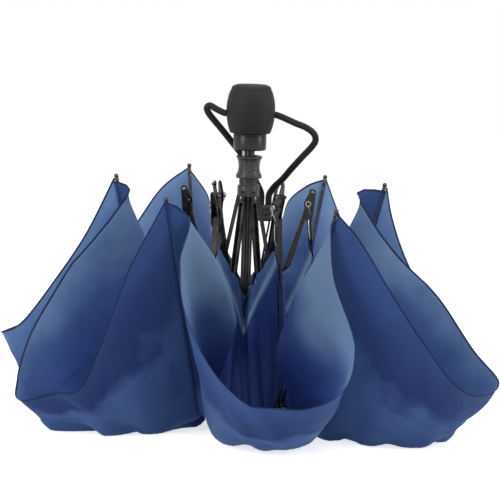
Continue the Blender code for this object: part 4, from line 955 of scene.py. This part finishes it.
WALL_SHARES = (0.22, 0.48, 0.76, 1.0)
CREST_ROW = 5
OUTSIDE_ROW = 6
ELBOW_ROW = 9
FLOOR_ROW = 10
WALL_ROW = 11
PLEATED_TO = ROW_STARTS[13]
TAPE_END = ROW_STARTS[8] + 4
HELD_ROWS = 4
RELAX_ROUNDS = 8
SEAM_PLACES = (0, 4.2, 4.8, 6.1, 6.6, 7.9, 8.2, 9.3, 9.7, 15)
SEAM_GAPS = (0.0001, 0.0001, 0.0032, 0.0032, 0.0002, 0.0002, 0.0034, 0.0034, 0.0001, 0.0001)
FRONT_GORE = 5
FOLD_COLUMNS = (0, 1, 3, 7, 9, 13, 18)
SIDE_FOLD_COLUMNS = (0, 1, 3, 4, 5, 9, 14)
FOLD_REACHES = (0, 0.04, 0.75, 1.0, 0.95, 0.45, 0)
SLACK_FOLDS = {
    (4, 0): ((0.014, 0.003, 0), (0.038, 0.004, 0), (0.036, 0.003, 0.004), (0.021, 0.003, 0.010)),
    (6, 1): ((0.012, 0.003, 0), (0.036, 0.004, 0), (0.046, 0.003, 0.010), (0.032, 0.001, 0.019)),
    (5, 0): ((0.010, 0.010, 0), (0.030, 0.024, 0), (0.026, 0.016, 0), (0.006, 0.002, 0)),
    (5, 1): ((0.012, 0.008, 0), (0.040, 0.018, 0), (0.036, 0.012, 0.006), (0.011, 0.004, 0.013)),
}
# Painted light and shade for the cloth's colour, kept as the 'open' attribute row by row: dark in the
# pockets and down the walls, painted highlights along the crest edges near rows 4 and 6, and paler towards
# the hem. Each gore's level scales it, and one flank of the front gore is painted paler near the hem.
PAINTED_LIGHT_ROWS = (0, 3.7, 4.0, 4.2, 5.7, 6.0, 6.15, 10.5, 12.6, 13.4, 14.2, 15)
PAINTED_LIGHT_SHARES = (0.10, 0.15, 1.0, 0.40, 0.40, 1.3, 0.10, 0.06, -0.14, 0.18, 0.62, 1.05)
PAINTED_LIGHT_LEVELS = (1.0, 1.0, 1.0, 0.82, 1.30, 0.88)
PAINTED_LIGHT_SIDES = (0, 0, 0, 0, 0.85, 0)
PAINTED_LIGHT_SIDE_ROWS = (11.4, 12.4, 14.2, 15)
# Gores whose outer face is painted paler, as where light shows through the single layer.
PAINTED_LIGHT_FACE_GORES = (1, 3)
BUCKLE_DEPTH = 0.0034
FAN_DEPTH = 0.0030
FOLD_DEPTH = 0.0026
CRUMPLE_DEPTH = 0.00075
PLEATS = 6
FRONT_PLEATS = (1.5, 0.30)
PLEAT_DEPTHS = (0, 0.0005, 0.0062, 0.0056, 0.0012, 0, 0.0005, 0.0038, 0.0078, 0.0084, 0.0076, 0.0068, 0.0030,
                0.0010, 0, 0)
HEM_SHARES = {
    1: [(-0.85, 0.04, 0.86), (-0.72, 0.14, 0.69), (-0.55, 0.31, 0.50), (-0.30, 0.50, 0.34),
        (0.00, 0.64, 0.25), (0.30, 0.58, 0.30), (0.52, 0.45, 0.41), (0.70, 0.30, 0.59), (0.86, 0.14, 0.79)],
    2: [(-0.80, -0.09, 0.96), (-0.52, -0.03, 0.86), (-0.35, 0.15, 0.63), (-0.18, 0.37, 0.42),
        (0.03, 0.53, 0.30), (0.22, 0.46, 0.36), (0.38, 0.28, 0.53), (0.50, 0.08, 0.73), (0.62, 0.00, 0.88)],
    3: [(-0.85, 0.20, 0.90), (-0.62, 0.32, 0.72), (-0.38, 0.50, 0.51), (-0.12, 0.68, 0.35),
        (0.12, 0.80, 0.29), (0.35, 0.84, 0.27), (0.57, 0.63, 0.34), (0.73, 0.40, 0.53), (0.88, 0.18, 0.75)],
    4: [(-0.88, 0.13, 0.77), (-0.75, 0.31, 0.57), (-0.57, 0.49, 0.37), (-0.30, 0.61, 0.20),
        (-0.08, 0.65, 0.14), (0.25, 0.51, 0.19), (0.48, 0.44, 0.23), (0.68, 0.38, 0.45), (0.85, 0.26, 0.74)],
    5: [(-0.84, -0.11, 0.92), (-0.78, 0.00, 0.77), (-0.62, 0.14, 0.60), (-0.30, 0.34, 0.39),
        (0.07, 0.49, 0.24), (0.45, 0.55, 0.24), (0.80, 0.51, 0.31), (0.97, 0.38, 0.48), (0.98, 0.18, 0.67)],
    6: [(-0.88, 0.18, 0.90), (-0.75, 0.38, 0.73), (-0.58, 0.59, 0.52), (-0.35, 0.73, 0.33),
        (-0.08, 0.78, 0.24), (0.22, 0.83, 0.27), (0.46, 0.60, 0.37), (0.65, 0.36, 0.55), (0.82, 0.13, 0.72)],
}


def rib_cloth(number):
    """The cloth's path in the plane of one rib, as (radius, height) points from the crown to the hem."""
    heading, length = line_angle(CROWN_PIVOT, KNEE), (KNEE - CROWN_PIVOT).length
    aside = CLOTH_STANDOFF * Vector((math.cos(heading), -math.sin(heading)))
    full = (CREST[1] - CROWN_PIVOT.y) / (KNEE.y - CROWN_PIVOT.y)
    rows = [Vector((radius, HUB_HEIGHT)) for radius in HUB_RADII]
    rows += [step_along(CROWN_PIVOT, heading, share * full * length) + aside for share in INSIDE_SHARES]
    down = (KNEE.y - CREST[1]) / (KNEE.y - ELBOW.y)
    outside = Vector((CLOTH_STANDOFF + 0.0006, 0))
    crest_out = KNEE.lerp(ELBOW, down) + outside
    rows += [Vector(((rows[-1].x + crest_out.x) / 2, CREST[0])), crest_out]
    rows += [crest_out.lerp(ELBOW + outside, share) for share in (0.42, 0.93)] + [ELBOW - outside]
    rows += [ELBOW + Vector((0.0012, -0.0062)), ELBOW + Vector((0.0054, -0.0034))]
    hem = step_along(ELBOW, OUTER_HEADINGS[number - 1], OUTER_LENGTH) + Vector((0.0013, -0.0036))
    return rows + [rows[-1].lerp(hem, share) for share in WALL_SHARES]


def middle_cloth():
    """The cloth's path half-way between two ribs, as far as the floor; the rest follows the hem."""
    start = Vector((HUB_RADII[1] + 0.0029, HUB_HEIGHT + 0.0058))
    rows = [Vector((radius, HUB_HEIGHT)) for radius in HUB_RADII]
    rows += [start.lerp(SAG_INNER, share) for share in INSIDE_SHARES]
    rows += [SAG_INNER.lerp(SAG_OUTER, 0.5), SAG_OUTER]
    for share in (0.36, 0.74, 1.0):
        rows.append(Vector((SAG_OUTER.x + (FLOOR_START.x - SAG_OUTER.x) * share ** 1.5,
                            SAG_OUTER.y + (FLOOR_START.y - SAG_OUTER.y) * share)))
    return rows


def between(values, place):
    """Smooth reading of an even list of tuples at place, from 0 to 1."""
    last = len(values) - 1
    index = min(int(place * last), last - 1)
    t = place * last - index
    around = [values[min(max(index + k, 0), last)] for k in (-1, 0, 1, 2)]
    out = []
    for a, b, c, d in zip(*around):
        low, high = min(b, c), max(b, c)
        out.append(min(max(curve_point(a, b, c, d, t), low - (high - low) / 4), high + (high - low) / 4))
    return out


def gore_column(number, across):
    """One column of a gore, as (turn share, radius, height) at each main row from crown to hem."""
    even = 2 * across - 1
    sides = (rib_cloth(number), rib_cloth(number % RIB_COUNT + 1))
    rib = sides[0] if even < 0 else sides[1]
    turn, reach, rise = between([(-1, 0, 1), *HEM_SHARES[number], (1, 0, 1)], across)
    turn = min(max(turn, -1), 1)
    near = sides[0][-1].lerp(sides[1][-1], (turn + 1) / 2)
    hem = Vector((near.x + (HEM_REACH - near.x) * reach, near.y * rise))
    sag = 1 - abs(even)
    column = []
    for row, middle in enumerate(middle_cloth()):
        drift = max(0, row - OUTSIDE_ROW) / 5
        place = rib[row].lerp(middle, sag if row < ELBOW_ROW else math.sin(sag * math.pi / 2))
        column.append((even + (turn - even) * drift, place.x, place.y))
    swell = max(0, hem.x - near.x)
    settled = min(1, max(swell / (HEM_REACH / 8), 2 * sag) if 0 < across < 1 else 0)
    foot = rib[WALL_ROW]
    floor_out = Vector((foot.x + swell * 0.95, foot.y + (FLOOR_HEIGHT - foot.y) * settled))
    floor_turn = turn * (0.72 + 0.28 * abs(turn) ** 6)
    column.append((floor_turn, (column[-1][1] + floor_out.x) / 2,
                   rib[FLOOR_ROW].y + (FLOOR_HEIGHT - rib[FLOOR_ROW].y) * settled))
    column.append((floor_turn, floor_out.x, floor_out.y))
    full = min(1, swell / (HEM_REACH / 4))
    for share in WALL_SHARES:
        out, up = share ** (1 - 0.35 * full), share ** (1 + 0.45 * full)
        column.append((floor_turn + (turn - floor_turn) * out, floor_out.x + (hem.x - floor_out.x) * out,
                       floor_out.y + (hem.y - floor_out.y) * up))
    return column


def relax(grid, rounds, first_free):
    """Even out a grid of points; its first rows, its last row and its two sides are held."""
    for _ in range(rounds):
        near = (grid[:-2, 1:-1] + grid[2:, 1:-1] + grid[1:-1, :-2] + grid[1:-1, 2:]) / 4
        mean = (grid[1:-1, 1:-1] + near) / 2
        grid[1:-1, first_free:-1] = mean[:, first_free - 1:]
        along = (grid[:, :-2] + grid[:, 2:]) / 2
        for side in (0, -1):
            rib = (grid[side, 1:-1] + along[side]) / 2
            grid[side, first_free:-1] = rib[first_free - 1:]


def gore_grid(number):
    """The gore's smooth surface, as an array of columns of points from the crown to the hem."""
    centre = (number - 0.5) * WEDGE
    grid = []
    for c in range(COLUMNS + 1):
        main = gore_column(number, c / COLUMNS)
        column = []
        for start, end, pieces in zip(main, main[1:], ROW_PIECES):
            for piece in range(pieces):
                column.append([a + (b - a) * piece / pieces for a, b in zip(start, end)])
        column.append(main[-1])
        grid.append([on_circle(radius, centre + turn * WEDGE / 2, height)
                     for turn, radius, height in column])
    grid = np.array(grid)
    gaps = np.interp(MAIN_ROWS, SEAM_PLACES, SEAM_GAPS)
    aside = np.array((-math.sin(centre), math.cos(centre), 0))
    even = np.linspace(-1, 1, COLUMNS + 1) ** 7
    grid -= even[:, None, None] * gaps[None, :, None] / math.cos(WEDGE / 2) * aside
    foot = ROW_STARTS[WALL_ROW]
    for (gore, side), depths in SLACK_FOLDS.items():
        if gore != number:
            continue
        rib = centre + (side - 0.5) * WEDGE
        inward = -np.array((math.cos(rib), math.sin(rib), 0))
        sideways = (1 - 2 * side) * np.array((-math.sin(rib), math.cos(rib), 0))
        wall = np.arange(foot, ROW_STARTS[-1] + 1)
        depths = np.array(((0, 0, 0), *depths))
        places = FOLD_COLUMNS if number == FRONT_GORE else SIDE_FOLD_COLUMNS
        reach = np.interp(np.abs(np.arange(COLUMNS + 1) - side * COLUMNS), places, FOLD_REACHES)
        for which, way in enumerate((inward, sideways, np.array((0, 0, 1)))):
            deep = np.interp(wall, ROW_STARTS[WALL_ROW:], depths[:, which])
            grid[:, foot:] += reach[:, None, None] * deep[None, :, None] * way
    relax(grid, RELAX_ROUNDS, HELD_ROWS)
    return grid


def crease(grid, number):
    """Move the grid's points along its normals: soft buckles, fans of folds at the tips, fine crumples."""
    last = ROW_STARTS[-1]
    wide = grid[2:, 1:-1] - grid[:-2, 1:-1]
    long = grid[1:-1, 2:] - grid[1:-1, :-2]
    normals = np.zeros_like(grid)
    normals[1:-1, 1:-1] = np.cross(wide, long)
    normals[:, -1] = normals[:, -2]
    size = np.linalg.norm(normals, axis=2, keepdims=True)
    normals /= np.maximum(size, 1e-12)
    moved = grid.copy()
    depths = np.interp(np.arange(last + 1), ROW_STARTS, PLEAT_DEPTHS)
    for c in range(1, COLUMNS):
        across = c / COLUMNS
        slack = math.sin(math.pi * across) ** 0.6
        for r in range(HELD_ROWS, last + 1):
            wall = max(0, r - ROW_STARTS[FLOOR_ROW]) / (last - ROW_STARTS[FLOOR_ROW])
            x, y, z = grid[c, r]
            buckle = noise.noise((across * 5.0, r / last * 4.0, number * 7.3)) * BUCKLE_DEPTH
            ray = across * (11 + 6 * wall) + (across - 0.5) * wall * 4
            fan = noise.noise((ray, wall * 1.3, number * 3.1))
            fold = noise.noise((across * 9.0 + r * 0.035, r / last * 3.0, number * 5.7))
            fine = noise.fractal((x * 60, y * 60, z * 34 + number), 0.8, 2.1, 4)
            drift = noise.noise((across * 2.0, r / last * 5.0, number * 9.1)) * 1.4
            pleat = math.sin(math.pi * (2 * PLEATS * across + drift))
            pleat += 1.0 if ROW_STARTS[ELBOW_ROW] <= r < PLEATED_TO else 0.0
            if number == FRONT_GORE:
                pleat *= FRONT_PLEATS[0] if r < ROW_STARTS[CREST_ROW] else FRONT_PLEATS[1]
            move = buckle + fan * FAN_DEPTH * min(1, wall * 3) + fold * FOLD_DEPTH + fine * CRUMPLE_DEPTH
            room = 0.35 if r <= ROW_STARTS[CREST_ROW] + 6 else 1 - 0.75 * wall ** 3
            moved[c, r] += normals[c, r] * (move * room + pleat * depths[r]) * slack
    moved[..., 2] = np.maximum(moved[..., 2], FLOOR_HEIGHT / 2)
    return moved


def gore_mesh(grid, painted_light_level, painted_light_sides):
    """One gore as a bare sheet, with its weave's UV in metres and how open each place lies to light, kept as
    painted light and shade for its colour.
    """
    shape = bmesh.new()
    uv = shape.loops.layers.uv.new("UVMap")
    corners = [[shape.verts.new(point) for point in column] for column in grid]
    lengths = [0.0]
    middle = grid[COLUMNS // 2]
    for r in range(ROW_STARTS[-1]):
        lengths.append(lengths[-1] + float(np.linalg.norm(middle[r + 1] - middle[r])))
    widths = np.linalg.norm(grid[1:] - grid[:-1], axis=2).sum(axis=0)
    for c in range(COLUMNS):
        for r in range(ROW_STARTS[-1]):
            places = ((c, r), (c, r + 1), (c + 1, r + 1), (c + 1, r))
            face = shape.faces.new([corners[col][row] for col, row in places])
            face.smooth = True
            for loop, (col, row) in zip(face.loops, places):
                loop[uv].uv = ((col / COLUMNS - 0.5) * widths[row], lengths[row])
    mesh = finished(shape)
    # Painted light and shade at each point: by row, scaled for the gore, plus a painted paler flank.
    painted_light_by_row = np.interp(MAIN_ROWS, PAINTED_LIGHT_ROWS, PAINTED_LIGHT_SHARES) * painted_light_level
    sides = np.maximum(np.linspace(1, -1, COLUMNS + 1), 0) ** 2.5
    beside = np.interp(MAIN_ROWS, PAINTED_LIGHT_SIDE_ROWS, (0, 1, 1, 0)) * painted_light_sides
    painted_light = painted_light_by_row[None, :] + sides[:, None] * beside[None, :]
    mesh.attributes.new("open", "FLOAT", "POINT").data.foreach_set("value", painted_light.ravel())
    return mesh


def pongee(name, colour, dye_and_shade_stops, through_colour, coat=0.0):
    """Dyed polyester pongee: a close plain weave with a soft sheen, uneven dyeing and faint handling
    creases, with painted light and shade in its colour from the 'open' attribute; light comes through it a
    little."""
    material, tree, shader = new_finish(name, colour, 0.58, Specular_IOR_Level=0.2, Sheen_Weight=0.22,
                                        Sheen_Roughness=0.4, Sheen_Tint=linear("#9dbcd6"), Coat_Weight=coat,
                                        Coat_Roughness=0.45)
    place = object_place(tree)
    patches = spread(tree, grain(tree, place, 20.0, 5.0, 0.6), -0.50, 0.50)
    painted_light = add_node(tree, "ShaderNodeAttribute", attribute_name="open").outputs["Fac"]
    # The ramp turns painted light and shade, plus random dye patches, into colour.
    dye_and_shade = toned(tree, calculated(tree, "ADD", painted_light, patches), *((stop, linear(code)) for stop, code in dye_and_shade_stops))
    weave = add_node(tree, "ShaderNodeUVMap", uv_map="UVMap")
    threads = [add_node(tree, "ShaderNodeTexWave", {"Vector": weave, "Scale": 700.0, "Distortion": 0.6,
                                                    "Detail": 1.0}, bands_direction=way).outputs["Fac"]
               for way in ("X", "Y")]
    cross = calculated(tree, "MULTIPLY", *threads)
    crumple = grain(tree, place, 55.0, 6.0)
    soft = bumped(tree, crumple, 0.55, 0.0020)
    woven = add_node(tree, "ShaderNodeVectorMath", {0: dye_and_shade, 3: spread(tree, cross, 0.90, 1.06)},
                     operation="SCALE")
    feed(shader, Base_Color=woven, Roughness=spread(tree, crumple, 0.50, 0.68),
         Normal=bumped(tree, cross, 0.22, 0.00012, Normal=soft))
    through = add_node(tree, "ShaderNodeBsdfTranslucent", {"Color": linear(through_colour)})
    thin = add_node(tree, "ShaderNodeMixShader", {0: THINNESS, 1: shader, 2: through})
    tree.links.new(thin.outputs[0], tree.nodes["Material Output"].inputs["Surface"])
    return material


# Each ramp turns the painted light and shade of the 'open' attribute into colour. On the face, the lowest
# values, along the floor, are painted paler as light bounced from the floor, the pockets darkest, and crests
# and hem lighter. The underside runs from painted shade to painted light.
cloth_face = pongee("navy_pongee_face", "#2b477c",
                    ((0.02, "#5574ab"), (0.20, "#1e2f69"), (0.72, "#243b6c"), (1.0, "#2e487a")), "#7f93bd")
# A paler copy of the face material: painted light, as where light shows through.
painted_light_face = pongee("navy_pongee_face_painted_light", "#2b477c",
                   ((0.02, "#5f7fb4"), (0.20, "#3a5590"), (0.72, "#5475a8"), (1.0, "#7090b8")), "#9db3d6")
cloth_back = pongee("navy_pongee_coated_underside", "#5072a0",
                    ((0.0, "#20337a"), (0.45, "#405c92"), (1.0, "#82a0c2")), "#a2b9da", 0.08)
trim_finish = pongee("navy_folded_trim", "#152a54", ((0.0, "#122448"), (1.0, "#1b3160")), "#8ea4cc")
# Spun polyester sewing thread, dyed to the cloth.
thread_finish = new_finish("navy_polyester_thread", "#142448", 0.7, Sheen_Weight=0.2)[0]
stitch = pellet((6, 5), (STITCH_WIDTH / 2, STITCH_WIDTH / 2, STITCH_LENGTH / 2))


def even_line(points, step):
    """Points at an even step along a line, each with its direction."""
    points = np.array(points)
    gone = np.concatenate(([0], np.cumsum(np.linalg.norm(points[1:] - points[:-1], axis=1))))
    wanted = np.linspace(0, gone[-1], max(2, int(gone[-1] / step)) + 1)
    line = np.stack([np.interp(wanted, gone, points[:, axis]) for axis in range(3)], axis=1)
    return line, np.gradient(line, axis=0)


def unit_vectors(rows):
    """Each row of an array brought to a length of 1."""
    return rows / np.maximum(np.linalg.norm(rows, axis=1, keepdims=True), 1e-9)


def hang(piece, replaced=None):
    """Cloth work hangs on the crown, with a mesh of its own."""
    settle(piece, "crown", replaced)
    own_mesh(piece)
    return piece


def add_trim(name, points, across, half_width, flat):
    """A folded tape of cloth along a line, lying across."""
    tape = tube_mesh([Vector(p) for p in points], half_width, TRIM_SIDES, [Vector(w) for w in across], flat)
    tape.materials.append(trim_finish)
    return hang(stand(name, tape))


gores = []
for number in range(1, RIB_COUNT + 1):
    grid = crease(gore_grid(number), number)
    gores.append(grid)
    sheet = stand("sheet", gore_mesh(grid, PAINTED_LIGHT_LEVELS[number - 1], PAINTED_LIGHT_SIDES[number - 1]))
    sheet.data.materials.append(cloth_back)
    sheet.data.materials.append(painted_light_face if number in PAINTED_LIGHT_FACE_GORES else cloth_face)
    wall = sheet.modifiers.new("Cloth", "SOLIDIFY")
    wall.thickness = CLOTH_THICKNESS
    wall.offset = 0
    wall.use_even_offset = False
    wall.material_offset = 1
    gore = hang(stand(f"canopy_gore_{number}", baked(sheet)), f"canopy_panel_{number}")
    edge = grid[:, -1]
    inward = unit_vectors(grid[:, -3] - edge)
    hem = add_trim(f"rolled_hem_{number}", edge + inward * HEM_WIDTH * 0.4, inward, HEM_WIDTH / 2,
                   HEM_FLATNESS)
    line, ahead = even_line(edge + inward * HEM_WIDTH * 0.75, STITCH_STEP)
    proud = unit_vectors(np.cross(ahead, np.repeat(((0, 0, 1),), len(line), axis=0))) * STITCH_STANDOFF
    rows = np.concatenate((line + proud, line - proud))
    stitches = hang(stand_units(f"hem_stitches_{number}", stitch, rows, np.concatenate((ahead, ahead)),
                                thread_finish))

for number in range(1, RIB_COUNT + 1):
    turn = (number - 1) * WEDGE
    outward = np.array((math.cos(turn), math.sin(turn), 0))
    sideways = np.array((-math.sin(turn), math.cos(turn), 0))
    middle = (gores[number - 2][-1] + gores[number - 1][0]) / 2
    outer = middle[ROW_STARTS[WALL_ROW]:]
    add_trim(f"tip_seam_{number}", outer, [sideways] * len(outer), SEAM_WIDTH / 2, SEAM_FLATNESS)
    tape = middle[ROW_STARTS[OUTSIDE_ROW]:TAPE_END] + outward * TAPE_STANDOFF
    for side, name in ((-1, "left"), (1, "right")):
        half = tape + side * sideways * TAPE_WIDTH * 0.49
        across = [sideways + side * outward * -TAPE_SLANT] * len(half)
        add_trim(f"rib_tape_{name}_{number}", half, across, TAPE_WIDTH / 2, TAPE_FLATNESS)
